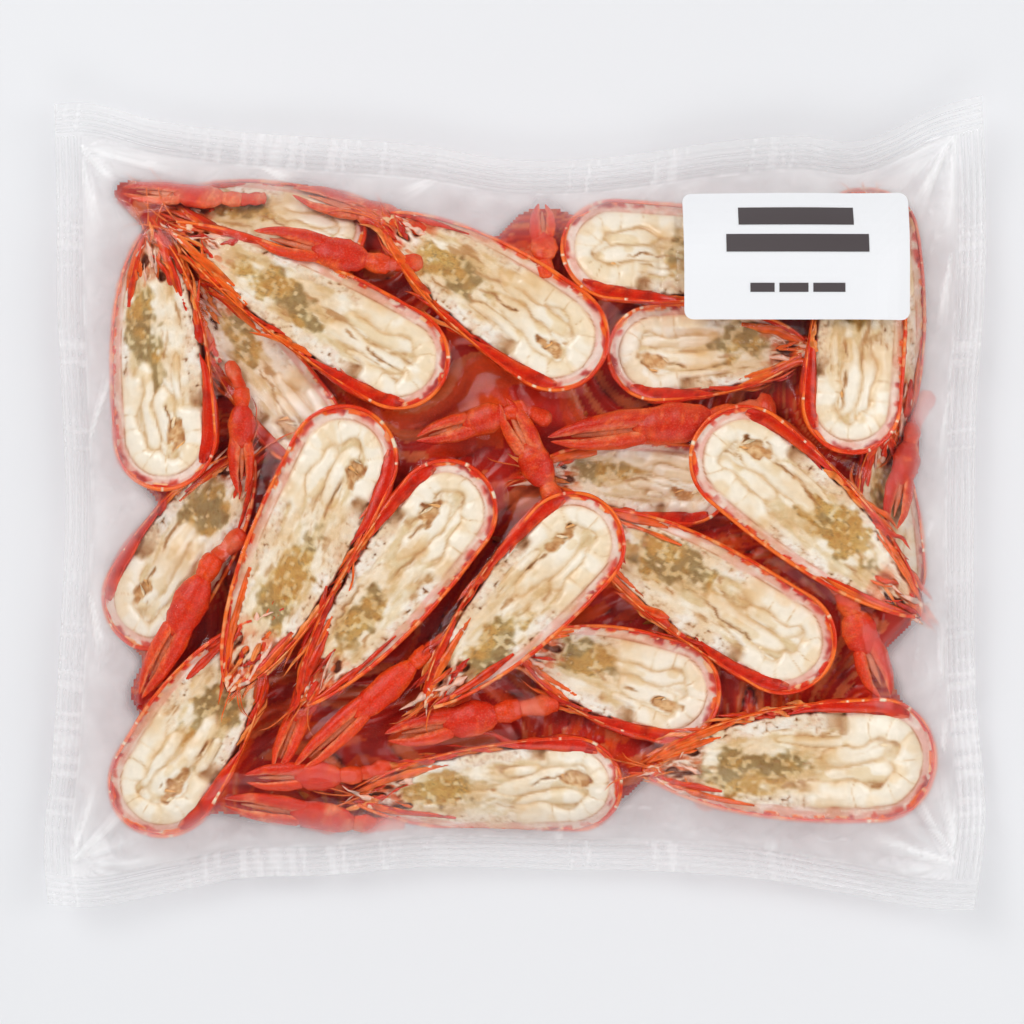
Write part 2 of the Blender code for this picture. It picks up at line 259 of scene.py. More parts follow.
def film_forms(x, y):
    """Upper film, lower film, and the upper one's level with the hollows left out."""
    dx, dy = inside_seam(x, y)
    seal = seal_level(x, y)
    share = rise(dx, SHOULDER) * rise(dy, SHOULDER)
    hug = np.clip(share * 1.3, 0.0, 1.0)
    smooth = seal + SEAL_HALF + (PACK_LEVEL - seal - SEAL_HALF) * share
    over = smooth + hug * relief(x, y) + corner_creases(x, y) * np.clip(share * 3.0, 0.0, 1.0)
    tx, ty = ((value - centre) / (size / 2) for value, centre, size in zip((x, y), FLAT_CENTRE, FLAT_SIZE))
    flat = 1.0
    for inward, past in ((dx, (np.abs(tx) - 1.0) * FLAT_SIZE[0] / 2 + FLAT_WAIST * (1.0 - ty ** 2)),
                         (dy, (np.abs(ty) - 1.0) * FLAT_SIZE[1] / 2 + FLAT_WAIST * (1.0 - tx ** 2))):
        past = np.maximum(past, 0.0)
        out = past / np.maximum(past + np.maximum(inward, 0.0), 0.1)
        flat = flat * (1.0 - 0.7 * out - 0.3 * out ** 2)
    under = (seal - SEAL_HALF) * (1.0 - flat)
    return over, under, smooth + hug * 0.4


# The map of heights: its first corner, and how many whole millimetres it has each way.
X0, Y0, NX, NY = -164, -142, 329, 285


class Field:
    """A height known at every whole millimetre, read smoothly in between."""

    def __init__(self, values):
        self.values = values

    def __call__(self, x, y):
        fx = np.clip(x - X0, 0, NX - 1.001)
        fy = np.clip(y - Y0, 0, NY - 1.001)
        ix, iy = fx.astype(int), fy.astype(int)
        tx, ty = fx - ix, fy - iy
        v = self.values
        return ((v[iy, ix] * (1 - tx) + v[iy, ix + 1] * tx) * (1 - ty)
                + (v[iy + 1, ix] * (1 - tx) + v[iy + 1, ix + 1] * tx) * ty)


MAP_X, MAP_Y = np.meshgrid(X0 + np.arange(NX, dtype=float), Y0 + np.arange(NY, dtype=float))
_over, _under, _level = film_forms(MAP_X, MAP_Y)
over, under, level = Field(_over), Field(_under), Field(_level)
top_of_food = np.full((NY, NX), -1.0)      # filled in as the food is laid


# Gathering meshes.

def linear(colour):
    """Screen colour, 0 to 255, as the amounts of light that a shader takes."""
    c = np.clip(colour, 0, 255) / 255.0
    return np.where(c <= 0.04045, c / 12.92, ((c + 0.055) / 1.055) ** 2.4)


class Gather:
    """Sheets of four-sided faces with a colour and a finish at every point."""

    def __init__(self):
        self.points, self.faces, self.tints, self.finish, self.count = [], [], [], [], 0

    def sheet(self, points, tint, rough=0.4, grain=0.3, glow=0.0, round_v=False):
        rows, cols = points.shape[:2]
        index = np.arange(rows * cols).reshape(rows, cols) + self.count
        if round_v:
            index = np.concatenate([index, index[:, :1]], axis=1)
        self.faces.append(np.stack([index[:-1, :-1], index[1:, :-1], index[1:, 1:],
                                    index[:-1, 1:]], -1).reshape(-1, 4))
        self.points.append(points.reshape(-1, 3))
        self.tints.append(np.broadcast_to(tint, (rows, cols, 3)).reshape(-1, 3))
        three = [np.broadcast_to(a, (rows, cols)).reshape(-1) for a in (rough, grain, glow)]
        self.finish.append(np.stack(three, -1))
        self.count += rows * cols

    def make(self, name, material, slot):
        points = np.concatenate(self.points)
        faces = np.concatenate(self.faces)
        mesh = bpy.data.meshes.new(name)
        mesh.vertices.add(len(points))
        mesh.vertices.foreach_set("co", (points * MM).astype(np.float32).ravel())
        mesh.loops.add(faces.size)
        mesh.loops.foreach_set("vertex_index", faces.astype(np.int32).ravel())
        mesh.polygons.add(len(faces))
        mesh.polygons.foreach_set("loop_start", np.arange(0, faces.size, 4, dtype=np.int32))
        mesh.polygons.foreach_set("use_smooth", np.ones(len(faces), bool))
        mesh.update(calc_edges=True)
        for attribute, values in (("tint", linear(np.concatenate(self.tints))),
                                  ("finish", np.concatenate(self.finish))):
            layer = mesh.color_attributes.new(attribute, "FLOAT_COLOR", "POINT")
            rgba = np.concatenate([values, np.ones((len(values), 1))], 1)
            layer.data.foreach_set("color", rgba.astype(np.float32).ravel())
        mesh.materials.append(material)
        piece = bpy.data.objects.new(name, mesh)
        bpy.context.scene.collection.objects.link(piece)
        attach(piece, "root")
        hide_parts("bag")
        return piece


def keep_inside(x, y, margin):
    """Pulls plan points in until they lie well inside the seam."""
    x = np.clip(x, through(EDGE_LEFT, 1, y) + BAND_LEFT + margin,
                through(EDGE_RIGHT, 1, y) - BAND_RIGHT - margin)
    y = np.clip(y, through(EDGE_BOTTOM, 0, x) + BAND_BOTTOM + margin,
                through(EDGE_TOP, 0, x) - BAND_TOP - margin)
    return x, y


# Room in millimetres that the food keeps: over the lower film, under the upper film's level, under
# the upper film itself, and where a bump stands out of its layer.
CLEAR_UNDER, CLEAR_LEVEL, CLEAR_OVER, CLEAR_TOP = 0.5, 0.9, 0.45, 0.3


def lay(points, base=None, margin=3.0, deep=0.0):
    """Turns depths below the film's level into heights, kept between the two films.

    Depths are squeezed where the films lie close, so that no layer meets another there, and
    deep is the least share of such a room that lies above the point."""
    x, y = keep_inside(points[..., 0], points[..., 1], margin)
    lowest = under(x, y) + CLEAR_UNDER
    ground = np.minimum(level(x, y) - CLEAR_LEVEL, over(x, y) - CLEAR_OVER)
    if base is not None:
        ground = np.minimum(base, ground - 0.6 * (ground - lowest))
    room = np.maximum(ground - lowest, 0.3)
    share = np.maximum(np.tanh(np.maximum(-points[..., 2], 0.0) / room), deep * ease(13.0, 7.0, room))
    z = np.minimum(ground - room * share + np.maximum(points[..., 2], 0.0), over(x, y) - CLEAR_TOP)
    laid = np.stack([x, y, z], -1)
    ix = np.clip(np.round(x - X0).astype(int), 0, NX - 1).ravel()
    iy = np.clip(np.round(y - Y0).astype(int), 0, NY - 1).ravel()
    np.maximum.at(top_of_food, (iy, ix), z.ravel())
    return laid


def tube(path, wide, high, sides=10):
    """Points of an oval tube along a path, with half widths and half heights along it."""
    path = np.asarray(path, float)
    along = np.gradient(path, axis=0)
    along /= np.linalg.norm(along, axis=1)[:, None] + 1e-9
    side = np.cross(along, (0.0, 0.0, 1.0))
    side /= np.linalg.norm(side, axis=1)[:, None] + 1e-9
    up = np.cross(side, along)
    turn = np.linspace(0, 2 * np.pi, sides, endpoint=False)
    wide = np.broadcast_to(wide, len(path))[:, None, None]
    high = np.broadcast_to(high, len(path))[:, None, None]
    return (path[:, None, :] + side[:, None, :] * wide * np.cos(turn)[None, :, None]
            + up[:, None, :] * high * np.sin(turn)[None, :, None])


def mix(a, b, share):
    """Colour a, with a share of colour b at every point."""
    a, b = np.asarray(a, float), np.asarray(b, float)
    share = np.asarray(share, float)[..., None]
    return a * (1 - share) + b * share


# One half.

RED, DEEP_RED, ORANGE = (216, 36, 4), (156, 14, 4), (244, 94, 16)
PALE_ORANGE, JOINT = (244, 176, 122), (243, 222, 190)
MEAT, MEAT_SHADE = (246, 233, 211), (238, 214, 176)
# The cut face: gills, soft folds, paste, head.
TISSUE, GILL = (206, 168, 128), (249, 240, 226)
GILL_PINK, GILL_SHADE_TAN = (238, 212, 190), (196, 142, 92)
GILL_PIT, FOLD = (168, 92, 60), (246, 234, 214)
FOLD_WARM, FOLD_SHADE = (226, 200, 156), (196, 152, 102)
PASTE_GOLD, PASTE_OLIVE = (214, 170, 92), (170, 144, 92)
PASTE_DARK, PASTE_PALE = (132, 98, 52), (240, 216, 168)
HEAD_PINK, HEAD_ROSE = (243, 218, 202), (214, 142, 108)
HEAD_RED, HEAD_HOLE_SHADE = (224, 96, 44), (156, 96, 72)
HEAD_CREAM = (246, 196, 158)
# The cut face: meat, the curl's hollow, skin, gap and the shell's cut edge.
LOBE_EDGE_SHADE, LOBE_WARM = (238, 216, 178), (232, 204, 158)
LOBE_CRACK_SHADE, TAIL_WARM = (206, 164, 116), (238, 210, 168)
TAIL_INNER_SHADE, TAIL_CREASE_SHADE = (236, 204, 160), (210, 168, 118)
CURL_TAN, CURL_PALE = (214, 164, 108), (242, 212, 168)
SKIN, SKIN_PINK = (244, 224, 214), (238, 190, 176)
SKIN_RED, SKIN_DEEP_RED = (214, 62, 42), (168, 30, 24)
SKIN_SEAM_SHADE, GAP_SHADE = (216, 160, 124), (108, 30, 14)
GAP_RED, RIM_RED = (190, 78, 34), (222, 44, 8)
RIM_ORANGE, CREST_HIGHLIGHT = (244, 104, 30), (254, 248, 237)
EDGE_RED, EDGE_ORANGE = (226, 52, 8), (246, 112, 34)
# Claws.
CLAW_ORANGE, CLAW_PALE = (238, 92, 20), (244, 190, 166)
FINGER_INNER, CLAW_RED = (246, 190, 156), (224, 44, 6)
CLAW_HOLLOW, ARM_PALE = (212, 120, 86), (238, 188, 168)
# Bed, label and ground.
BED_RED, BED_ORANGE = (196, 26, 4), (232, 78, 16)
BED_PALE, BED_SHADE = (226, 112, 62), (104, 14, 4)
GROUND, PAPER = (232, 233, 236), (238, 239, 242)
INK = (74, 66, 68)


class Half:
    """Shape of one half in its own frame: x from the tail's middle to the head, y across,
    positive on the side that the legs and the tail fan are on."""

    def __init__(self, centre, radius, head, full, fan_side):
        self.centre = np.array(centre, float)
        axis = np.array(head, float) - self.centre
        self.length = float(np.hypot(*axis))
        self.ex = axis / self.length
        self.ey = np.array((-self.ex[1], self.ex[0])) * fan_side
        self.radius, self.full = radius, full

    def width(self, x):
        tail = np.sqrt(np.maximum(0.0, self.radius ** 2 - np.minimum(x, 0.0) ** 2))
        front = np.maximum(0.0, 1.0 - np.clip(x / self.length, 0.0, 1.0) ** self.full) ** 0.75
        return np.maximum(0.06, np.where(x < 0.0, tail, self.radius * front))

    def plan(self, x, y):
        return (self.centre[0] + x * self.ex[0] + y * self.ey[0],
                self.centre[1] + x * self.ex[1] + y * self.ey[1])

    def world(self, x, y, z):
        px, py = self.plan(x, y)
        return np.stack([px, py, z], -1)

    def stations(self, step):
        """Places along the half, closer together at the rounded tail end."""
        tail = -self.radius * np.cos(np.linspace(0.0, np.pi / 2, max(8, int(self.radius * 1.45 / step))))
        front = np.linspace(0.0, 1.0, max(10, int(self.length / step)))[1:]
        return np.concatenate([tail, self.length * (1.0 - (1.0 - front) ** 1.12)])


def soften(field, rounds):
    """Blurs a grid of values, each with its four neighbours."""
    for _ in range(rounds):
        wide = np.pad(field, 1, mode="edge")
        field = (wide[1:-1, 1:-1] * 2 + wide[:-2, 1:-1] + wide[2:, 1:-1]
                 + wide[1:-1, :-2] + wide[1:-1, 2:]) / 6.0
    return field


class Paint:
    """Depth, colour, roughness and grain of a cut face, laid on one tissue after another."""

    def __init__(self, shape, colour, depth):
        self.colour = np.broadcast_to(np.array(colour, float), shape + (3,)).copy()
        self.depth = np.broadcast_to(depth, shape).copy()
        self.rough = np.full(shape, 0.42)
        self.grain = np.full(shape, 0.5)

    def put(self, mask, tint=None, depth=None, rough=None, grain=None):
        """Lays one tissue on, as thickly as its mask says."""
        mask = np.clip(mask, 0.0, 1.0)
        if tint is not None:
            self.colour = mix(self.colour, tint, mask)
        for name, value in (("depth", depth), ("rough", rough), ("grain", grain)):
            if value is not None:
                setattr(self, name, getattr(self, name) * (1 - mask) + value * mask)


def face_paint(half, X, Y, seed, filled):
    """The cut face at plan points of the half."""
    R, L = half.radius, half.length
    W = half.width(X)
    rng = np.random.default_rng(seed)
    wob = clouds(X / 5.0 + seed, Y / 5.0, seed) - 0.5
    fine = clouds(X / 1.3, Y / 1.3 + seed, seed + 2) - 0.5
    small = cloud(X / 2.2, Y / 1.6, seed + 4) - 0.5
    edge_n = np.where(X <= 0, np.hypot(X, Y) / R, np.abs(Y) / W)
    n = edge_n + wob * 0.05
    # Distance along the curl from the middle of the tail's back, in millimetres.
    curl = np.degrees(np.arctan2(Y, -np.minimum(X, 0.0) + 1e-6)) * 0.01745 * 0.64 * R
    curl = np.where(X > 0, np.sign(Y) * (np.pi / 2 * 0.64 * R + X), curl)
    body = ease(0.5 * R, 1.0 * R, X - 3.0 * wob)
    face = Paint(X.shape, TISSUE, -3.4 + 0.8 * wob)
    put = face.put

    # Gills: crumbly white lumps, with tan painted between them as shade.
    first, _, mark = lumps(X / 2.3 + wob, Y / 1.7 + 2 * wob, seed)
    crumb, _, crumb_mark = lumps(X / 0.95 + fine, Y / 0.85, seed + 13)
    lump = np.sqrt(np.clip(1.0 - (first / 0.80) ** 2, 0.0, 1.0))
    bit = np.sqrt(np.clip(1.0 - (crumb / 0.72) ** 2, 0.0, 1.0))
    tint = mix(GILL, GILL_PINK, 0.6 * (mark > 0.75) + 0.3 * crumb_mark)
    tint = mix(tint, GILL_SHADE_TAN,
               0.9 * ease(0.55, 0.05, lump) * ease(0.3, 0.6, cloud(X / 6.0, Y / 4.0, seed + 19)))
    put(body, tint, -3.3 + 1.9 * lump + 0.6 * bit + 1.2 * wob, 0.5, 0.6)
    dots, _, dot_mark = lumps(X / 1.9, Y / 1.7, seed + 21)
    pits = ease(0.36, 0.16, dots) * (dot_mark > 0.6) * ease(0.55, 0.72, cloud(X / 5.0, Y / 4.0, seed + 22))
    put(body * pits * ease(0.6, 0.75, n) * 0.45, GILL_PIT, None, 0.5, 0.5)

    # Soft flesh down the middle of the body, in long folds.
    fold = clouds(X / 10.0 + wob, Y / 2.6 + 1.2 * wob, seed + 15)
    soft = clouds(X / 8.0, Y / 3.2, seed + 11)
    middle = ease(0.62, 0.50, n + 0.25 * wob) * ease(0.88 * L, 0.74 * L, X + 8 * wob)
    tint = mix(FOLD, FOLD_WARM, ease(0.40, 0.70, soft))
    tint = mix(tint, FOLD_SHADE, 0.8 * ease(0.38, 0.22, fold))
    put(middle, tint, -2.6 + 2.1 * fold, 0.34, 0.35)

    # Olive and mustard paste behind the head, and a little of it elsewhere.
    speck = cloud(X / 0.55, Y / 0.55, seed + 31)
    coarse = cloud(X / 1.6, Y / 1.4, seed + 32)
    for share in (1.0, 0.55):
        px = L * (rng.uniform(0.50, 0.64) if share == 1.0 else rng.uniform(0.32, 0.74))
        py = rng.uniform(-0.24, 0.24) * R
        paste = 1.0 - np.hypot((X - px) / (R * rng.uniform(0.8, 1.1) * share),
                               (Y - py) / (R * rng.uniform(0.34, 0.46) * share)) + wob * 1.2 + small * 0.4
        tint = mix(PASTE_GOLD, PASTE_OLIVE, ease(0.40, 0.60, clouds(X / 9.0, Y / 7.0, seed + 33)))
        tint = mix(tint, PASTE_DARK, 0.8 * ease(0.55, 0.85, speck) * ease(0.3, 0.7, coarse))
        tint = mix(tint, PASTE_PALE, 0.8 * ease(0.55, 0.80, coarse))
        put(ease(-0.05, 0.35, paste) * 0.95, tint, -2.9 + 0.7 * speck + 0.9 * coarse, 0.42, 1.0)

    # The head: a pinkish hollow with holes painted dark as shade, then shell broken open.
    front = ease(0.70 * L, 0.82 * L, X + wob * 12.0)
    ridge = clouds(X / 3.4, Y / 1.5 + wob * 2.0, seed + 39)
    tint = mix(HEAD_PINK, HEAD_ROSE, ease(0.46, 0.64, ridge))
    tint = mix(tint, HEAD_RED, 0.8 * ease(0.58, 0.72, cloud(X / 4.0, Y / 1.6, seed + 40)))
    put(front, tint, -3.6 + 3.2 * (1.0 - ridge), 0.34, 0.4)
    for _ in range(3):
        hole = 1.0 - np.hypot((X - rng.uniform(0.74, 0.9) * L) / rng.uniform(2.2, 3.6),
                              (Y - rng.uniform(-0.3, 0.3) * R) / rng.uniform(1.1, 1.8)) + 1.2 * wob + small
        put(ease(0.0, 0.5, hole), HEAD_HOLE_SHADE, -4.0, 0.4, 0.4)
    shell = ease(0.86 * L, 0.95 * L, X - wob * 12.0 + 0.14 * L * (n - 0.3) + 3.0 * small)
    put(shell, mix(RED, ORANGE, ease(0.35, 0.65, cloud(X / 3, Y / 1.5, seed + 41))),
        -3.4 + 4.0 * ridge, 0.25, 0.3)
    put(shell * ease(0.54, 0.66, ridge), HEAD_CREAM, None, 0.3, 0.3)

    # Long lobes of white meat that run from inside the curl down the body.
    lean = rng.uniform(-0.06, 0.06)
    rows = [(-0.26, 0.20), (0.12, 0.23), (0.40, 0.10)]
    for row, (offset, wide) in enumerate(rows):
        if row == 2 and not filled and rng.random() < 0.6:
            continue
        start = rng.uniform(-0.42, -0.15) if filled or row != 2 else rng.uniform(0.3, 0.6)
        stop = rng.uniform(0.9, 1.75)
        cx, cy = 0.5 * (start + stop) * R, (offset + rng.uniform(-0.03, 0.03)) * R
        long, wide = 0.5 * (stop - start) * R, wide * R * rng.uniform(0.85, 1.15)
        tilt = lean + rng.uniform(-0.07, 0.07)
        ax = (X - cx) * np.cos(tilt) + (Y - cy) * np.sin(tilt)
        ay = -(X - cx) * np.sin(tilt) + (Y - cy) * np.cos(tilt) + 1.1 * np.sin(ax / 6.0 + seed + row)
        w = wide * (0.78 + 0.44 * cloud(ax / 5.0, ax * 0, seed + row))
        d = np.hypot(np.sign(ax) * (np.abs(ax) / long) ** 1.6, ay / w) + small * 0.14
        bulge = np.clip(1.0 - d * d, 0.0, 1.0) ** 0.7
        # Painted shade: each lobe darkens to tan towards its edge.
        tint = mix(LOBE_EDGE_SHADE, MEAT, ease(-0.2, 0.75, bulge + fine * 0.2))
        tint = mix(tint, LOBE_WARM, 0.75 * ease(0.56, 0.74, cloud(X / 5.0, Y / 3.0, seed + 57 + row)))
        put(ease(1.10, 0.82, d), tint, -2.5 + 2.1 * bulge + 0.4 * small, 0.30, 0.2)
    # Painted shade: a tan crack sunk between the lobes.
    crack = np.abs(Y - (0.20 + 0.1 * np.sin(seed)) * R + 0.12 * R * np.sin(X / R * 1.9 + seed) + wob * 3.0)
    opened = (ease(-0.35 * R, 0.1 * R, X) * ease(1.9 * R, 1.4 * R, X)
             * ease(0.30, 0.5, cloud(X / 6.0, Y * 0, seed + 37)))
    put(ease(0.7, 0.1, crack + 0.5 * small) * opened * 0.7, LOBE_CRACK_SHADE, -2.8, 0.45, 0.3)

    # Tail meat: a plump band of segments that curls round from the body to the tail fan.
    inner, outer = (0.30 if filled else 0.34), 0.775
    ends = ease(1.25 * R, 1.05 * R, X) * np.where(Y > 0, ease(0.62 * R, 0.40 * R, X), 1.0)
    inner = inner + 0.08 * np.sin(curl / 5.0 + seed) + 0.05 * np.sin(curl / 2.3 + 2 * seed)
    m = np.clip((edge_n + 0.05 * wob - inner) / (outer - inner), 0.0, 1.0)
    plump = np.clip(4.0 * m * (1.0 - m), 0.0, 1.0) ** 0.48
    gaps = np.linspace(-4.0, 4.0, 9) * R * 0.37 + rng.uniform(-1.4, 1.4, 9)
    bent = curl + 3.0 * (m - 0.5) ** 2 * np.sign(curl + 0.01) + 2.4 * wob
    near = np.min(np.abs(bent[..., None] - gaps), -1)
    puff = np.sqrt(np.clip(near / 2.3, 0.0, 1.0) * (2.0 - np.clip(near / 2.3, 0.0, 1.0)))
    # Painted shade: the band darkens towards its edges, between its segments and along its inner side.
    tint = mix(MEAT_SHADE, MEAT, ease(0.05, 0.95, plump * (0.40 + 0.60 * puff)))
    tint = mix(tint, TAIL_WARM, 0.75 * ease(0.48, 0.72, cloud(curl / 6.0, n * 3.0, seed + 61)))
    tint = mix(tint, TAIL_INNER_SHADE, 0.5 * ease(0.16, 0.02, m))
    put(ends * ease(0.0, 0.13, m) * ease(1.0, 0.95, m), tint,
        np.where(m < 0.5, -3.4, -1.8) + np.where(m < 0.5, 3.2, 1.6) * plump * (0.84 + 0.16 * puff)
        + 0.3 * small, 0.27, 0.12)
    # Painted shade: tan lines along the creases between segments.
    line = (ease(0.34, 0.05, near) * ease(0.05, 0.3, m)
            * ease(0.40, 0.65, cloud(curl / 3.0, n * 4.0, seed + 63)))
    put(ends * line * 0.55, TAIL_CREASE_SHADE, None, 0.36, 0.2)

    # The gap inside the curl, close to the fan's side.
    if not filled:
        gx, gy = rng.uniform(-0.05, 0.20) * R, rng.uniform(0.18, 0.32) * R
        hole = 1.0 - np.hypot((X - gx) / (0.34 * R), (Y - gy) / (0.17 * R)) + 1.6 * wob + 0.7 * small
        put(ease(0.0, 0.35, hole), mix(CURL_TAN, CURL_PALE, ease(0.3, 0.7, fine + 0.5)), -2.8, 0.5, 0.4)

    # Pale skin between meat and shell, with red patches, one to a segment.
    skin = ease(0.735, 0.765, edge_n + 0.05 * wob) * ease(0.93 * L, 0.85 * L, X)
    skin = skin * np.where((Y > 0) & (X > 0.5 * R), 0.0, 1.0)
    along = np.where(X > 0, 1.25, 1.0) * curl
    phase = along / (0.48 * R) + 0.6 * wob + seed
    patch = ease(-0.1, 0.75, np.sin(phase * 2 * np.pi) + 1.8 * (cloud(along / 9.0, n * 0, seed + 71) - 0.42)
                 + 1.6 * (cloud(along / 2.2, edge_n * 13, seed + 70) - 0.5))
    tint = mix(SKIN, SKIN_PINK, ease(0.3, 0.7, cloud(along / 5.0, n * 14, seed + 72)))
    put(skin, tint, -1.5, 0.34, 0.3)
    body_side = ease(0.4 * R, 1.0 * R, X)
    put(skin * patch * ease(0.80 + 0.13 * body_side, 0.92 + 0.07 * body_side, edge_n + 0.10 * small) * 0.92,
        mix(SKIN_RED, SKIN_DEEP_RED, ease(0.3, 0.7, cloud(along / 3.5, n * 10, seed + 74))),
        -1.2, 0.24, 0.4)
    # Painted shade: a tan line in the groove where skin meets meat.
    seam = ease(0.018, 0.006, np.abs(edge_n - 0.76)) * ease(0.35, 0.6, cloud(along / 6.0, n, seed + 73))
    put(skin * 0.6 * seam, SKIN_SEAM_SHADE, -1.9, 0.4, 0.2)

    # The gap beside the shell, on the legs' side, painted dark as shade.
    legs = ease(0.5 * R, 0.9 * R, X) * (Y > 0)
    put(ease(0.82, 0.90, n + 0.05 * small) * legs * ease(0.98, 0.94, edge_n),
        mix(GAP_SHADE, GAP_RED, ease(0.45, 0.7, cloud(X / 3, Y / 2, seed + 81))), -4.0, 0.4, 0.3)

    # The shell's own cut edge.
    scallop = (ease(-0.3, 0.5, np.sin(phase * 2 * np.pi + 2.0))
               * ease(0.35, 0.6, cloud(along / 14.0, along * 0, seed + 94)))
    thin = 0.045 + 0.035 * cloud(along / 5.0 + 3.0, along * 0, seed + 93) + 0.065 * scallop
    rim = ease(-0.012, 0.012, edge_n - (1.0 - thin * np.minimum(1.0, R / W * 0.9)))
    rim_tint = mix(RIM_RED, RIM_ORANGE, ease(0.35, 0.65, cloud(along / 2.0, edge_n * 14, seed + 91)))
    rim_tint = mix(rim_tint, PALE_ORANGE, ease(0.70, 0.82, cloud(along / 1.6, edge_n * 9, seed + 95)))
    put(rim, rim_tint, -0.8, 0.22, 0.4)

    depth = np.maximum(face.depth + fine * 0.45, -4.8)
    # Painted shade darkens the relief's crevices and broad hollows, and a painted highlight lightens its
    # crests.
    around, wide = soften(depth, 10), soften(depth, 70)
    painted_crevice_shade = np.clip((around - depth - 0.1) / 1.1, 0.0, 1.0)
    painted_crevice_shade = painted_crevice_shade * (0.2 + 0.8 * ease(0.3, 0.65, cloud(X / 7.0, Y / 7.0, seed + 97)))
    painted_hollow_shade = np.clip((wide - depth) / 1.8, 0.0, 1.0)
    colour = face.colour * (1.0 - painted_crevice_shade[..., None] * np.array((0.12, 0.24, 0.36)))
    colour = colour * (1.0 - painted_hollow_shade[..., None] * np.array((0.13, 0.26, 0.42)))
    crest = np.clip((depth - wide) / 1.2, 0.0, 0.7) * (face.colour.min(-1) > 120)
    colour = mix(colour, CREST_HIGHLIGHT, 0.45 * crest)
    warm = ease(0.2 * R, 1.0 * R, X) * ease(0.25, 0.75, clouds(X / 8.0, Y / 6.0, seed + 98))
    colour = colour * (1.0 - warm[..., None] * np.array((0.05, 0.13, 0.24)))
    return depth, colour, face.rough, face.grain


def half_face(gather, half, drop, seed, filled, step=0.55, base=None):
    """The cut face of a half, as a sheet that follows its outline."""
    xs = half.stations(step)
    qs = np.linspace(-1.0, 1.0, int(2 * half.radius / step))
    X = np.broadcast_to(xs[:, None], (len(xs), len(qs)))
    Y = half.width(X) * qs[None, :] * 0.985
    depth, colour, rough, grain = face_paint(half, X, Y, seed, filled)
    gather.sheet(lay(half.world(X, Y, depth - drop), base), colour, rough, grain)


def half_hull(gather, half, drop, seed, base=None, sides=26, step=1.6, thick=13.0):
    """The shell's outside, a boat-like hull below the cut face, ribbed round the tail."""
    xs = half.stations(step)
    phi = np.linspace(-0.05, 1.05, sides) * np.pi
    X = np.broadcast_to(xs[:, None], (len(xs), sides))
    W = half.width(X)
    turn = np.degrees(np.arctan2(-W * np.cos(phi), X)) % 360.0
    rib = np.where(X < 0.55 * half.radius, np.abs(np.sin(np.radians(turn) * 2.6)), 1.0)
    skin = 0.35 * ease(0.0, 0.5, rib)
    depth = thick * (W / half.radius) ** 0.6
    Y = (W + skin) * np.cos(phi)
    Z = -depth * np.maximum(np.sin(phi), -0.02) - skin * np.sin(phi)
    spots = cloud(X / 2.0 + seed, Y / 2.0 + Z, seed + 3)
    colour = mix(RED, DEEP_RED, ease(0.3, 0.8, clouds(X / 9.0, Y / 9.0, seed + 5)))
    colour = mix(colour, ORANGE,
                 np.clip(0.8 * ease(0.62, 0.8, spots) + 0.8 * ease(0.6, 0.15, np.sin(phi)), 0, 1))
    colour = mix(colour, JOINT, 0.8 * ease(0.22, 0.05, rib))
    colour = mix(colour, PALE_ORANGE, 0.5 * ease(0.6, 0.8, clouds(X / 14.0, Y / 14.0 + Z / 9.0, seed + 8)))
    inward = np.broadcast_to(0.97 * ease(0.05, 0.45, np.sin(phi)), X.shape)
    gather.sheet(lay(half.world(X, Y, Z - drop - 0.3), base, deep=inward), colour, 0.24, 0.3)


def half_rim(gather, half, drop, seed):
    """The cut edge of the shell, a thin raised line all round the half."""
    R, L = half.radius, half.length
    back = np.linspace(-1.0, 1.0, 90)
    xs = np.concatenate([np.linspace(0.97 * L, 0.0, 120)[:-1], -R * np.cos(back * np.pi / 2),
                         np.linspace(0.0, 0.9 * L, 110)[1:]])
    sign = np.concatenate([-np.ones(119), np.sign(back + 1e-6), np.ones(109)])
    ys = half.width(xs) * sign * 0.985
    ys[119:209] = R * np.sin(back * np.pi / 2) * 0.985
    along = np.cumsum(np.hypot(np.gradient(xs), np.gradient(ys)))
    rise_up = 0.15 * (cloud(along / 4.0, along * 0, seed) - 0.5)
    path = np.stack([xs, ys, -0.5 + rise_up - drop], -1)
    on_legs = (ys > 0) & (xs > 0.8 * R)
    wide = np.where(on_legs, 0.35, 0.62) * (0.8 + 0.4 * cloud(along / 6.0, along * 0, seed + 1))
    ring = tube(path, wide, 0.75, 6)
    tint = mix(EDGE_RED, EDGE_ORANGE, ease(0.3, 0.7, cloud(along / 5.0, along * 0, seed + 2)))
    tint = mix(tint, JOINT, ease(0.86, 0.94, cloud(along / 1.4, along * 0, seed + 4)) * (xs < 0.8 * R))
    tint = mix(tint, PALE_ORANGE,
               0.7 * ease(0.6, 0.8, cloud(along / 1.8, along * 0, seed + 6)) * (xs >= 0.8 * R))
    px, py = half.plan(ring[..., 0], ring[..., 1])
    laid = lay(np.stack([px, py, ring[..., 2]], -1))
    gather.sheet(laid, tint[:, None, :], 0.22, 0.3, round_v=True)


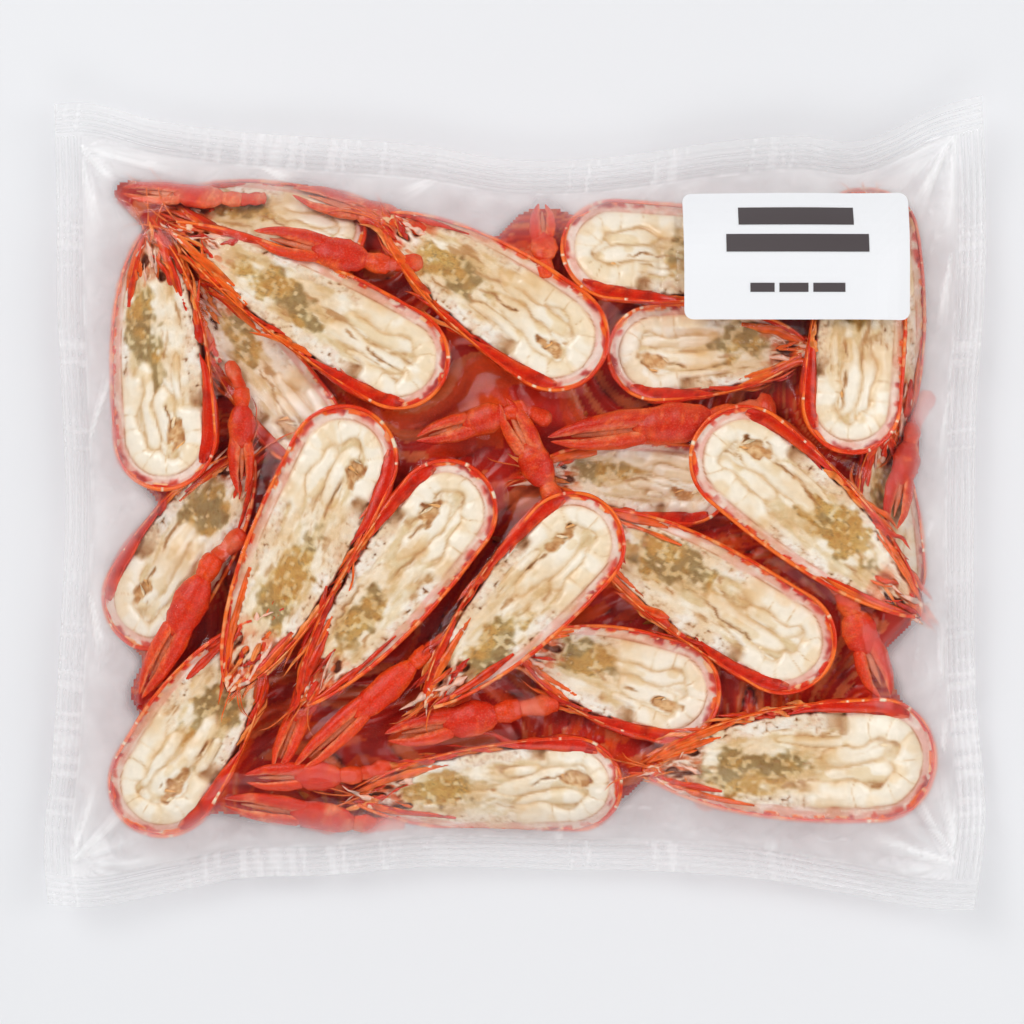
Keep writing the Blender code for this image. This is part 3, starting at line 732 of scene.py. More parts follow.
def blade(gather, path, wide, high, tint, edge_tint, seed, count=16, sides=8, base=None, ragged=0.3):
    """A strip of shell with ragged edges that tapers towards its far end."""
    pts = curve(path, count)
    s = np.linspace(0.0, 1.0, count)
    rough = cloud(s * 9.0 + seed, s * 0, seed + 1) - 0.5
    shape = np.minimum(1.0, 0.35 + 4.0 * s) * (1.0 - s ** 2.6) * (1.0 + 2.0 * ragged * rough) + 0.03
    pts[:, :2] += (ragged * wide * (cloud(s * 6.0, s * 0 + seed, seed + 2) - 0.5))[:, None]
    ring = tube(pts, wide * shape, high * (0.3 + 0.7 * shape), sides)
    around = np.abs(np.cos(np.linspace(0, 2 * np.pi, sides, endpoint=False)))
    share = 0.9 * around[None, :] ** 2 * (0.2 + 1.0 * cloud(s * 7.0 + seed, s * 0, seed))[:, None]
    colour = mix(tint, edge_tint, np.clip(share, 0, 1))
    blot = cloud(ring[..., 0] / 1.7, ring[..., 1] / 1.7, seed % 97)
    colour = mix(colour, np.array(tint) * 0.7, 0.6 * ease(0.6, 0.8, blot))
    gather.sheet(lay(ring, base), colour, 0.26, 0.22, round_v=True)


# Loose legs under the top layer: how many, and their middling size in millimetres.
LEGS_PER_SQUARE_METRE = 7500.0
LOOSE_LEG_LENGTH = 23.0
LOOSE_LEG_THICKNESS = 2.0
LOOSE_LEG_SUNK = 2.4

# Colours of the limbs, each a body colour and the colour of its edges.
LEG_TINTS = (((232, 84, 16), (250, 170, 92)), ((212, 40, 6), (240, 108, 32)),
             ((238, 120, 44), (252, 200, 140)), ((222, 60, 12), (244, 140, 64)),
             ((186, 26, 6), (230, 80, 22)))
FAN_TINTS = (((206, 30, 6), (238, 96, 30)), ((176, 22, 8), (226, 66, 22)),
             ((222, 84, 52), (244, 190, 168)))
PALE_SHARD, FEELER_TINTS = ((238, 196, 176), (246, 150, 100)), ((226, 92, 30), (240, 140, 70))
SMALL_LIMB_TINTS = (((232, 168, 100), (246, 206, 150)), ((240, 214, 172), (252, 240, 218)))


def half_limbs(gather, half, drop, seed, rich=1.0, base=None):
    """Tail fan, legs, feelers and the broken shell at the head."""
    R, L = half.radius, half.length
    rng = np.random.default_rng(seed + 500)

    def strip(points, wide, high, tints, count=14, ragged=0.3):
        pts = np.array(points, float)
        px, py = half.plan(pts[:, 0], pts[:, 1])
        blade(gather, np.stack([px, py, pts[:, 2] - drop], -1), wide, high, *tints,
              int(rng.integers(9999)), count, base=base, ragged=ragged)

    def beside(x, share):
        return float(half.width(np.array(min(x, 0.97 * L)))) * share

    def pick():
        return LEG_TINTS[int(rng.integers(len(LEG_TINTS)))]

    # Tail fan: a few broad plates folded along the side, ending in a point.
    for k in range(3):
        far = R * (1.45 - 0.30 * k) * rng.uniform(0.9, 1.1)
        off = 0.90 - 0.03 * k
        strip([(-0.55 * R, R * off * 0.80, -1.6), (-0.05 * R, R * off * 0.98, -0.9 - 0.3 * k),
               (0.55 * far, R * (off + 0.02), -0.5 - 0.4 * k),
               (far, R * (off + rng.uniform(-0.10, 0.04)), -1.3)],
              2.9 - 0.5 * k, 0.9, FAN_TINTS[k], 22, 0.14)
    # Legs, folded forward along the body and a little splayed.
    for k in range(int(round(12 * rich))):
        x0 = rng.uniform(0.75 * R, 0.80 * L)
        long = rng.uniform(10, 24)
        out = rng.uniform(-0.06, 0.20) + 0.12 * rng.random() ** 3
        bend = rng.uniform(-1.0, 1.6)
        z = rng.uniform(-3.6, -0.7)
        strip([(x0, beside(x0, rng.uniform(0.80, 0.97)), z),
               (x0 + long * 0.35, beside(x0 + long * 0.35, 0.93) + 0.5 * bend, z + rng.uniform(-0.2, 0.5)),
               (x0 + long * 0.7, beside(x0 + long * 0.7, 0.93) + out * long * 0.6 + bend,
                z + rng.uniform(-0.4, 0.3)),
               (x0 + long, beside(x0 + long, 0.9) + out * long + 0.8, z - rng.uniform(0.0, 1.2))],
              rng.uniform(0.55, 1.45), 0.8, pick(), 16, 0.4)
    # Ragged shell down the back's side.
    for k in range(int(round(5 * rich))):
        x0 = rng.uniform(0.6 * R, 0.85 * L)
        long = rng.uniform(7, 16)
        strip([(x0, -beside(x0, 0.985), -1.2),
               (x0 + 0.5 * long, -beside(x0 + 0.5 * long, 0.97), rng.uniform(-1.6, -0.5)),
               (x0 + long, -beside(x0 + long, 0.97) - rng.uniform(-0.6, 1.2), -1.6)],
              rng.uniform(0.4, 0.9), 0.7, pick(), 12, 0.6)
    # Plates of the carapace, which run together at the head's tip.
    for side in (-1, -1, 1, 1, 1):
        x0 = rng.uniform(0.52, 0.72) * L
        inward = rng.uniform(0.55, 0.93)
        strip([(x0, side * beside(x0, inward + 0.03), -1.6),
               (0.5 * (x0 + L), side * beside(0.5 * (x0 + L), inward), rng.uniform(-1.4, -0.6)),
               (0.93 * L, side * beside(0.93 * L, inward), -1.2),
               (L * rng.uniform(0.98, 1.08), side * rng.uniform(0.0, 2.5), -2.2)],
              rng.uniform(0.7, 1.5), 0.9, LEG_TINTS[int(rng.integers(2))], 24, 0.3)
    # Broken shell, pale skin, mouth parts and leg ends at the head.
    for k in range(int(round(13 * rich))):
        x0 = rng.uniform(0.70, 0.94) * L
        y0 = rng.uniform(-0.85, 0.85) * beside(x0, 1.0)
        long = rng.uniform(4, 14)
        swing = rng.uniform(-0.5, 0.5)
        strip([(x0, y0, -2.2), (x0 + long * 0.5, y0 * 0.8 + swing * long * 0.3, rng.uniform(-1.8, -0.3)),
               (x0 + long, y0 * 0.45 + swing * long * 0.9, rng.uniform(-3.0, -0.8))],
              rng.uniform(0.35, 1.1), 0.7, PALE_SHARD if k % 3 == 0 else pick(), 12, 0.6)
    # Thin feelers.
    for k in range(int(round(3 * rich))):
        bend = rng.uniform(-1.0, 1.0)
        long = rng.uniform(14, 26)
        strip([(0.9 * L, rng.uniform(-2, 2), -1.2), (0.9 * L + long * 0.4, bend * 3, -0.9),
               (0.9 * L + long * 0.8, bend * 8, -1.4), (0.9 * L + long * 0.95, bend * 14, -2.0)],
              0.33, 0.33, FEELER_TINTS, 22, 0.0)
    # Small limbs that cross the open curl of the tail.
    for k in range(int(round(2 * rich))):
        a = rng.uniform(0.2, 1.5)
        cx, cy = R * rng.uniform(-0.20, 0.30), R * rng.uniform(0.12, 0.36)
        long = rng.uniform(1.6, 3.6)
        strip([(cx - long * np.cos(a), cy - long * np.sin(a), -3.0), (cx, cy, -2.1),
               (cx + long * np.cos(a), cy + long * np.sin(a), -2.8)],
              rng.uniform(0.40, 0.75), 0.6, SMALL_LIMB_TINTS[k], 9, 0.3)


# Claws.

def claw(gather, tip, wrist, width, top, pale, arm_turn, seed, base=None):
    """Palm, two fingers with a slit between them, the wrist joint and a stretch of arm."""
    tip, wrist = np.array(tip, float), np.array(wrist, float)
    axis = tip - wrist
    long = float(np.hypot(*axis))
    ex = axis / long
    ey = np.array((-ex[1], ex[0]))
    rng = np.random.default_rng(seed + 900)
    flip = 1 if rng.random() < 0.5 else -1
    half = 0.5 * width
    high = 0.62

    def place(u, v, z, wide, tall, tint, inner=None, sides=18, rough=0.22, bumpy=0.10):
        u, v = np.asarray(u, float), np.asarray(v, float) * flip
        path = np.stack([wrist[0] + u * ex[0] + v * ey[0], wrist[1] + u * ex[1] + v * ey[1],
                         np.broadcast_to(z, u.shape)], -1)
        ring = tube(path, wide, tall, sides)
        swell = bumpy * (clouds(ring[..., 0] / 2.6, ring[..., 1] / 2.6 + ring[..., 2], seed + 1)
                         - 0.5) * 2.0
        ring = path[:, None, :] + (ring - path[:, None, :]) * (1.0 + swell[..., None])
        x, y, zz = ring[..., 0], ring[..., 1], ring[..., 2]
        stip = cloud(x / 0.9, y / 0.9 + zz, seed + 2)
        blot = clouds(x / 6.0, y / 6.0, seed + 4)
        turn = np.linspace(0, 2 * np.pi, sides, endpoint=False)[None, :]
        colour = mix(tint, CLAW_ORANGE, 0.75 * np.abs(np.cos(turn)) ** 3 * ease(0.3, 0.6, blot))
        colour = mix(colour, ORANGE, 0.5 * ease(0.6, 0.8, stip) * ease(0.35, 0.6, blot))
        colour = mix(colour, CLAW_PALE, np.clip(pale * 0.8 + 0.05, 0, 1) * ease(0.48, 0.75, blot)
                     * (0.5 + 0.5 * stip))
        if inner is not None:
            face = np.clip(np.cos(turn) * inner * flip * -1.0, 0, 1)
            colour = mix(colour, FINGER_INNER, 0.7 * np.clip(face * 1.3 - 0.35, 0, 1)
                         * (0.45 + 0.55 * ease(0.4, 0.6, stip)))
        gather.sheet(lay(ring, base), colour, rough, 0.5, round_v=True)

    body = mix(CLAW_RED, DEEP_RED, np.array(rng.uniform(0.0, 0.40)))
    z = top - half * high
    s = np.linspace(0, 1, 26)
    palm = np.interp(s, (0, 0.04, 0.16, 0.42, 0.75, 0.94, 1),
                     (0.02, 0.42, 0.74, 1.04, 0.92, 0.5, 0.05)) * half
    place(s * 0.50 * long, s * 0, z, palm, palm * high, body)
    # The hollow between the fingers.
    place((0.36 + 0.50 * s) * long, s * 0, z - 0.22 * half,
          np.interp(s, (0, 0.1, 0.5, 1), (0.05, 0.34, 0.30, 0.05)) * half,
          np.interp(s, (0, 0.1, 0.5, 1), (0.05, 0.24, 0.22, 0.05)) * half, CLAW_HOLLOW, sides=10)
    part = rng.uniform(0.0, 0.22)
    finger = np.interp(s, (0, 0.06, 0.3, 0.6, 0.85, 0.97, 1),
                       (0.05, 0.40, 0.44, 0.35, 0.21, 0.09, 0.02)) * half
    u = (0.32 + 0.68 * s) * long
    v = np.interp(s, (0, 0.35, 0.7, 1), (-0.41, -0.51 - 0.5 * part, -0.40 - part, -0.08 - part)) * half
    place(u, v, z, finger * 1.08, finger * 0.95, body, inner=1.0)
    u = (0.40 + 0.585 * s) * long
    v = np.interp(s, (0, 0.35, 0.7, 1), (0.44, 0.54 + 0.5 * part, 0.45 + part, 0.12 + part)) * half
    place(u, v, z + 0.2, finger * 0.86, finger * 0.86, mix(body, ORANGE, np.array(0.25)), inner=-1.0)
    # Wrist joint, then the arm.
    a = np.radians(arm_turn)
    out = -(ex * np.cos(a) + ey * np.sin(a))
    reach = width * rng.uniform(1.0, 1.4)
    knuckle = np.interp(s, (0, 0.08, 0.5, 0.9, 1), (0.30, 0.46, 0.60, 0.50, 0.20)) * half
    spots = -s * 0.80 * width
    place(spots + 0.16 * width, s * 0, z - 0.3, knuckle * 1.1, knuckle * 0.95,
          mix(body, ORANGE, np.array(0.35)))
    start = wrist - ex * width * 0.45
    path = np.stack([start[0] + out[0] * s * reach, start[1] + out[1] * s * reach, z - 0.6 - s * 2.5], -1)
    arm = np.interp(s, (0, 0.1, 0.35, 0.75, 0.93, 1), (0.30, 0.44, 0.46, 0.60, 0.46, 0.10)) * half
    arm = arm * (0.85 + 0.4 * cloud(s * 5.0, s * 0, seed + 6))
    ring = tube(path, arm, arm * 0.9, 12)
    blot = clouds(ring[..., 0] / 5.0, ring[..., 1] / 5.0, seed + 8)
    colour = mix(mix(body, ORANGE, np.array(0.3)), ARM_PALE, (0.3 + 0.5 * pale) * ease(0.35, 0.7, blot))
    gather.sheet(lay(ring, base), colour, 0.25, 0.45, round_v=True)


# Finishes.

def shader_tree(name):
    """A new material with nothing but its output."""
    material = bpy.data.materials.new(name)
    material.use_nodes = True
    tree = material.node_tree
    tree.nodes.clear()
    out = tree.nodes.new("ShaderNodeOutputMaterial")
    return material, tree, out


def node(tree, kind, inputs=None, **settings):
    """Adds a node, with its settings and its inputs, either values or other nodes' sockets."""
    made = tree.nodes.new(kind)
    for key, value in settings.items():
        setattr(made, key, value)
    for key, value in (inputs or {}).items():
        if isinstance(value, bpy.types.NodeSocket):
            tree.links.new(value, made.inputs[key])
        else:
            made.inputs[key].default_value = value
    return made


def arithmetic(tree, operation, a, b=0.0):
    """One sum on two numbers."""
    return node(tree, "ShaderNodeMath", {0: a, 1: b}, operation=operation).outputs[0]


def food_finish(name, coarse, fine_scale, contrast, shine, flecks):
    """Food surface: painted colour with a finer mottling, wet gloss and fine relief."""
    material, tree, out = shader_tree(name)
    tint = node(tree, "ShaderNodeAttribute", attribute_name="tint")
    finish = node(tree, "ShaderNodeAttribute", attribute_name="finish")
    parts = node(tree, "ShaderNodeSeparateColor", {0: finish.outputs["Color"]})
    where = node(tree, "ShaderNodeTexCoord").outputs["Object"]
    big = node(tree, "ShaderNodeTexNoise",
               {"Vector": where, "Scale": coarse, "Detail": 4.0, "Roughness": 0.6})
    small = node(tree, "ShaderNodeTexNoise",
                 {"Vector": where, "Scale": fine_scale, "Detail": 3.0, "Roughness": 0.65})
    swing = arithmetic(tree, "SUBTRACT", big.outputs["Fac"], 0.5)
    stipple = arithmetic(tree, "MULTIPLY", arithmetic(tree, "SUBTRACT", small.outputs["Fac"], 0.5),
                         parts.outputs["Green"])
    total = arithmetic(tree, "ADD", arithmetic(tree, "MULTIPLY", swing, contrast),
                       arithmetic(tree, "MULTIPLY", stipple, contrast * 2.2))
    bright = arithmetic(tree, "ADD", total, 1.0)
    colour = node(tree, "ShaderNodeVectorMath", {0: tint.outputs["Color"]}, operation="SCALE")
    tree.links.new(bright, colour.inputs["Scale"])
    # Small pale dots, as on the claws.
    dots = node(tree, "ShaderNodeTexNoise",
                {"Vector": where, "Scale": 1700.0, "Detail": 2.0, "Roughness": 0.6})
    share = node(tree, "ShaderNodeMapRange", {0: dots.outputs["Fac"], 1: 0.50, 2: 0.80, 3: 0.0, 4: flecks})
    share = arithmetic(tree, "MULTIPLY", share.outputs[0], parts.outputs["Green"])
    speckled = node(tree, "ShaderNodeMix", {"Factor": share}, data_type="RGBA")
    tree.links.new(colour.outputs[0], speckled.inputs["A"])
    speckled.inputs["B"].default_value = (0.93, 0.42, 0.22, 1.0)
    rough = arithmetic(tree, "ADD", arithmetic(tree, "MULTIPLY", parts.outputs["Red"], 0.75),
                       arithmetic(tree, "MULTIPLY", swing, 0.25))
    height = arithmetic(tree, "MULTIPLY", small.outputs["Fac"], parts.outputs["Green"])
    bump = node(tree, "ShaderNodeBump", {"Strength": 0.6, "Distance": 0.0008, "Height": height})
    shader = node(tree, "ShaderNodeBsdfPrincipled", {
        "Base Color": speckled.outputs["Result"], "Roughness": rough, "Normal": bump.outputs[0],
        "Specular IOR Level": shine})
    tree.links.new(shader.outputs[0], out.inputs["Surface"])
    return material


def film_finish():
    """Clear film: nearly unseen where it hugs the food, milky where it stands off it."""
    material, tree, out = shader_tree("clear film")
    finish = node(tree, "ShaderNodeAttribute", attribute_name="finish")
    parts = node(tree, "ShaderNodeSeparateColor", {0: finish.outputs["Color"]})
    tint = node(tree, "ShaderNodeAttribute", attribute_name="tint")
    rib_at = node(tree, "ShaderNodeSeparateColor", {0: tint.outputs["Color"]})
    where = node(tree, "ShaderNodeTexCoord").outputs["Object"]
    crinkle = node(tree, "ShaderNodeTexNoise",
                   {"Vector": where, "Scale": 150.0, "Detail": 1.0, "Roughness": 0.5})
    rib = arithmetic(tree, "SINE", arithmetic(tree, "MULTIPLY", rib_at.outputs["Red"], 120.0))
    calm = arithmetic(tree, "SUBTRACT", 0.5, arithmetic(tree, "MULTIPLY", parts.outputs["Blue"], 0.4))
    height = arithmetic(tree, "ADD", arithmetic(tree, "MULTIPLY", rib, parts.outputs["Blue"]),
                        arithmetic(tree, "MULTIPLY", crinkle.outputs["Fac"], calm))
    bump = node(tree, "ShaderNodeBump", {"Strength": 0.35, "Distance": 0.00018, "Height": height})
    clear = node(tree, "ShaderNodeBsdfTransparent", {"Color": (0.994, 0.991, 0.993, 1.0)})
    gloss = node(tree, "ShaderNodeBsdfGlossy",
                 {"Color": (1, 1, 1, 1), "Roughness": 0.09, "Normal": bump.outputs[0]})
    shine = node(tree, "ShaderNodeMixShader",
                 {0: parts.outputs["Red"], 1: clear.outputs[0], 2: gloss.outputs[0]})
    milk = node(tree, "ShaderNodeBsdfDiffuse",
                {"Color": (0.97, 0.97, 0.975, 1.0), "Normal": bump.outputs[0]})
    milky = arithmetic(tree, "ADD", parts.outputs["Green"], arithmetic(
        tree, "MULTIPLY", arithmetic(tree, "MULTIPLY", rib, parts.outputs["Blue"]), 0.06))
    through_it = node(tree, "ShaderNodeBsdfTranslucent", {"Color": (0.95, 0.95, 0.96, 1.0)})
    milk = node(tree, "ShaderNodeMixShader", {0: 0.2, 1: milk.outputs[0], 2: through_it.outputs[0]})
    total = node(tree, "ShaderNodeMixShader", {0: milky, 1: shine.outputs[0], 2: milk.outputs[0]})
    tree.links.new(total.outputs[0], out.inputs["Surface"])
    return material


def plain_finish(name, colour, rough, grain=0.0, scale=900.0):
    """One even colour, with a fine grain if asked."""
    material, tree, out = shader_tree(name)
    shader = node(tree, "ShaderNodeBsdfPrincipled",
                  {"Base Color": (*linear(np.array(colour)), 1.0), "Roughness": rough})
    if grain:
        where = node(tree, "ShaderNodeTexCoord").outputs["Object"]
        fibre = node(tree, "ShaderNodeTexNoise", {"Vector": where, "Scale": scale, "Detail": 4.0})
        bump = node(tree, "ShaderNodeBump",
                    {"Strength": grain, "Distance": 0.0001, "Height": fibre.outputs["Fac"]})
        tree.links.new(bump.outputs[0], shader.inputs["Normal"])
    tree.links.new(shader.outputs[0], out.inputs["Surface"])
    return material


# The film as a mesh.

# The film's reach each way, and how close its points lie: close within a stretch of the edges,
# further apart in the middle.
FILM_LONG, FILM_DEEP = 311, 255
OVER_STRETCH, OVER_CLOSE, OVER_APART = 30, 0.75, 1.1
UNDER_STRETCH, UNDER_CLOSE, UNDER_APART = 10, 2.0, 2.6
# The lower film ends this far inside the seam's outer edge, along X and along Y.
UNDER_INSET_LONG, UNDER_INSET_DEEP = 7.5, 9.0
# Share of mirror gloss where the film is free, how much less on the food, and on the lower film.
GLOSS, GLOSS_LESS_ON_FOOD, GLOSS_UNDER = 0.036, 0.025, 0.02
# Milkiness: the free margin's least and its clouds, the veil beside the seam, and a fold's white, which is
# partly painted highlight.
MARGIN_MILK, MARGIN_CLOUDS, SEAM_VEIL, FOLD_MILK_AND_GLINT = 0.30, 0.34, 0.26, 0.97
# The seam's own milkiness: its least, its clouds and its bright streaks.
SEAM_MILK, SEAM_CLOUDS, SEAM_STREAKS = 0.24, 0.10, 0.26
# The seam's ribs are counted from this far outside its inner edge, over this stretch.
RIBS_FROM, RIBS_STRETCH = 14.0, 40.0


def spacing(total, stretch, close, apart):
    """Shares across the pack, close together within a stretch of either edge."""
    start = np.arange(0.0, stretch, close)
    middle = np.arange(stretch, total - stretch, apart)
    end = np.linspace(total - stretch, total, int(stretch / close) + 1)
    return np.concatenate([start, middle, end]) / total


# Long creases, mostly from the seam's corners: start, end, width at the end, height.
CREASES = (
    (149.0, 123.6, 134.8, 101.0, 3.0, 1.5), (149.0, 123.6, 147.4, 97.0, 2.2, 1.3),
    (149.0, 123.6, 122.0, 115.0, 5.0, 1.0), (150.4, -122.5, 133.9, -98.1, 2.4, 1.6),
    (150.4, -122.5, 143.0, -92.0, 4.0, 1.2), (150.4, -122.5, 120.0, -112.0, 5.0, 1.0),
    (147.8, -118.0, 147.0, -97.0, 1.6, 1.0), (145.4, -84.0, 144.8, -72.0, 1.8, 1.0),
    (145.0, -60.0, 143.6, -40.0, 2.0, 1.0), (147.0, 40.0, 145.0, 16.0, 2.2, 1.0),
    (146.6, 84.0, 144.6, 60.0, 2.6, 1.2), (-146.6, 120.8, -132.7, 107.5, 3.4, 1.4),
    (-146.6, 120.8, -141.0, 93.0, 3.0, 1.4), (-146.6, 120.8, -112.0, 112.0, 5.0, 1.2),
    (-149.0, -121.9, -133.0, -103.2, 3.0, 1.6), (-149.0, -121.9, -138.0, -112.0, 5.0, 1.2),
    (-149.0, -121.9, -143.5, -96.0, 3.0, 1.2), (-90.0, 118.0, -74.0, 108.0, 4.0, 1.2),
    (-20.0, 113.0, -38.0, 104.0, 4.0, 1.0), (60.0, 114.0, 44.0, 106.0, 4.0, 1.0),
    (84.0, -127.0, 85.5, -113.0, 3.2, 1.2), (20.0, -122.0, 12.0, -111.0, 4.0, 1.0),
    (-62.0, -122.0, -54.0, -112.0, 4.0, 1.0), (-143.0, 20.0, -137.0, 44.0, 2.6, 1.2),
    (-144.0, -30.0, -139.0, -52.0, 2.6, 1.2),
)
# Middles of the soft fans in the corners, each with its seed.
FANS = ((-145, 120, 1), (146, 121, 2), (146, -122, 3), (-146, -121, 4))


def folds(x, y, inner):
    """Height and whiteness of the folds: long creases, soft fans in the corners, short waves
    along the seam. The whiteness is partly milky creased film and partly painted highlight,
    brighter on one side of each long crease."""
    z, milk_and_glint = np.zeros_like(x), np.zeros_like(x)
    for x0, y0, x1, y1, wide, high in CREASES:
        dx, dy = x1 - x0, y1 - y0
        long = np.hypot(dx, dy)
        t = ((x - x0) * dx + (y - y0) * dy) / long ** 2
        off = ((x - x0) * dy - (y - y0) * dx) / long + 0.8 * np.sin(3.0 * t + x0)
        tent = np.clip(1.0 - np.abs(off) / (0.7 + wide * np.clip(t, 0.0, 1.0)), 0.0, 1.0)
        fade = ease(-0.05, 0.10, t) * ease(1.15, 0.55, t)
        z += high * tent * fade
        # Painted highlight: each crease is whiter on one side, as if lit.
        milk_and_glint += (0.55 + 0.45 * (off > 0.0)) * ease(0.20, 0.62, tent) * fade
    for cx, cy, seed in FANS:
        r = np.hypot(x - cx, y - cy)
        phi = np.arctan2(y - cy, x - cx)
        crest = (0.5 + 0.5 * np.cos(phi * 13.0 + 2.0 * cloud(phi * 5.0 + seed, r / 40.0, seed))) ** 2
        fade = ease(0.0, 8.0, r) * ease(48.0, 20.0, r)
        z += 0.9 * crest * fade
        milk_and_glint += 0.35 * crest * fade
    beside_x = 119.0 - np.abs(y) < 150.0 - np.abs(x)
    for along, near, seed in ((x, beside_x, 11), (y, ~beside_x, 12)):
        swing = 5.0 * cloud(along / 26.0, inner * 0, seed)
        crest = (0.5 + 0.5 * np.cos(along / 3.4 + swing + inner / 9.0)) ** 2
        depth = 5.0 + 22.0 * cloud(along / 11.0, along * 0, seed + 4) ** 2
        fade = ease(depth, 0.2 * depth, inner) * ease(0.0, 3.0, inner) * near
        z += 0.7 * crest * fade
        milk_and_glint += 0.30 * crest * fade
    return z, np.clip(milk_and_glint, 0.0, 1.0)


def gap_to_food():
    """How far the upper film stands off the food under it."""
    food = top_of_food.copy()
    for _ in range(2):
        wide = np.pad(food, 1, mode="edge")
        beside = [wide[:-2, 1:-1], wide[2:, 1:-1], wide[1:-1, :-2], wide[1:-1, 2:]]
        food = np.maximum.reduce([wide[1:-1, 1:-1]] + [side - 0.4 for side in beside])
    return Field(soften(np.clip(_over - food, 0.0, 9.0), 3))


def film_height(x, y, top, inner, fold):
    """The upper film: fine creases, stronger near the seam, its folds, and a waving margin. It
    stays over the food and under the label."""
    pull = clouds(x / 9.0 + y / 14.0, y / 26.0 - x / 30.0, 3) - 0.5
    crease = np.abs(clouds(x / 13.0, y / 13.0, 8) - 0.5) * 2.0
    rough = ease(0.0, 6.0, inner) * (0.35 + 1.1 * ease(26.0, 6.0, inner))
    z = top + rough * (0.5 * pull - 0.55 * ease(0.10, 0.0, crease)) + fold * ease(-1.0, 1.0, inner)
    z = z + ease(0.6, -0.6, inner) * 0.20 * np.sin(x / 9.0 + y / 7.0) * np.sin(y / 11.0)
    z = np.maximum(z, Field(top_of_food)(x, y) + 0.15)
    off_label = np.maximum(np.abs(x - LABEL_CENTRE[0]) - LABEL_SIZE[0] / 2,
                           np.abs(y - LABEL_CENTRE[1]) - LABEL_SIZE[1] / 2)
    return np.where(off_label < 1.5, np.minimum(z, level(x, y) - 0.1), z)


def film_haze(x, y, dx, dy, milk_and_glint, covered):
    """How milky the upper film is at each point, from 0 to 1."""
    inner = np.minimum(dx, dy)
    haze = 0.001 + 0.003 * np.clip(gap_to_food()(x, y) - 1.5, 0.0, 6.0)
    haze = haze * (1.0 - 0.5 * covered)
    haze = np.clip(haze * (0.2 + 1.6 * clouds(x / 16.0, y / 16.0, 31)), 0.002, 0.25)
    free = (1.0 - covered) ** 1.3
    haze = haze + (MARGIN_MILK + MARGIN_CLOUDS * clouds(x / 14.0, y / 14.0, 32)) * free
    # Over the food beside the seam the film stands off and veils it.
    veil = SEAM_VEIL * covered * ease(18.0, 2.0, inner)
    haze = haze + veil * (0.15 + 1.1 * clouds(x / 11.0, y / 11.0, 34))
    # Painted highlight: a bright line along the seam's inner edge and the folds' whiteness, laid on as
    # milkiness.
    edge_milk_and_glint = np.exp(-((inner - 0.2) / 0.7) ** 2) * ease(0.35, 0.65, clouds(x / 9.0, y / 9.0, 33))
    milk_and_glint = np.maximum(milk_and_glint * (1.0 - 0.95 * covered), 0.6 * edge_milk_and_glint)
    haze = haze + (FOLD_MILK_AND_GLINT - haze) * milk_and_glint
    # In the seam, streaks of light run along the ribs.
    side = dx < dy
    lane, down = np.where(side, y, x), np.where(side, dx, dy)
    streak = ease(0.60, 0.85, cloud(lane / 1.5 + down / 10.0, down / 24.0, 41))
    streak = streak * ease(0.35, 0.7, cloud(lane / 30.0, down * 0, 42))
    seam = SEAM_MILK + SEAM_CLOUDS * clouds(lane / 30.0, down / 8.0, 5) + SEAM_STREAKS * streak
    band = ease(0.6, -0.6, inner)
    return haze * (1 - band) + band * seam


def upper_film(material):
    """The upper sheet, with the seam round it."""
    u, v = np.meshgrid(spacing(FILM_LONG, OVER_STRETCH, OVER_CLOSE, OVER_APART),
                       spacing(FILM_DEEP, OVER_STRETCH, OVER_CLOSE, OVER_APART), indexing="ij")
    x, y = plan_point(u, v)
    top, _, _ = film_forms(x, y)
    dx, dy = inside_seam(x, y)
    inner = np.minimum(dx, dy)
    fold, milk_and_glint = folds(x, y, inner)
    z = film_height(x, y, top, inner, fold)
    covered = np.clip(Field(soften(under_cover().values, 4))(x, y), 0.0, 1.0)
    haze = film_haze(x, y, dx, dy, milk_and_glint, covered)
    ribs = ease(0.6, -0.6, inner) * ease(-9.2, -8.4, inner)
    # The ribs follow the nearer edge.
    across = np.where(dy < 0.0, dy, dx)
    count = np.clip(across + RIBS_FROM, 0, RIBS_STRETCH) / RIBS_STRETCH
    sheet = Gather()
    sheet.sheet(np.stack([x, y, z], -1), np.zeros(3), GLOSS - GLOSS_LESS_ON_FOOD * covered, haze, ribs)
    return make_film("film_over", sheet, material, count.ravel())


def lower_film(material):
    """The lower sheet, which ends inside the seam."""
    long, deep = FILM_LONG - 2 * UNDER_INSET_LONG, FILM_DEEP - 2 * UNDER_INSET_DEEP
    u, v = np.meshgrid(
        (spacing(long, UNDER_STRETCH, UNDER_CLOSE, UNDER_APART) * long + UNDER_INSET_LONG) / FILM_LONG,
        (spacing(deep, UNDER_STRETCH, UNDER_CLOSE, UNDER_APART) * deep + UNDER_INSET_DEEP) / FILM_DEEP,
        indexing="ij")
    x, y = plan_point(u, v)
    _, low, _ = film_forms(x, y)
    inner = np.minimum(*inside_seam(x, y))
    haze = 0.03 + 0.06 * ease(24.0, 3.0, inner) + 0.04 * clouds(x / 15, y / 15, 77)
    low = np.where(low < 0.02, 0.02, low) + ease(0.0, 8.0, inner) * 0.12 * clouds(x / 8, y / 8, 9)
    sheet = Gather()
    sheet.sheet(np.stack([x, y, low], -1), np.zeros(3), GLOSS_UNDER, haze, 0.0)
    return make_film("film_under", sheet, material, np.zeros(low.size))


def make_film(name, sheet, material, count):
    """A film piece, whose tint holds where each point lies across the seam's ribs."""
    piece = sheet.make(name, material, "film")
    rgba = np.zeros((len(count), 4))
    rgba[:, 0], rgba[:, 3] = count, 1.0
    piece.data.color_attributes["tint"].data.foreach_set("color", rgba.astype(np.float32).ravel())
    return piece


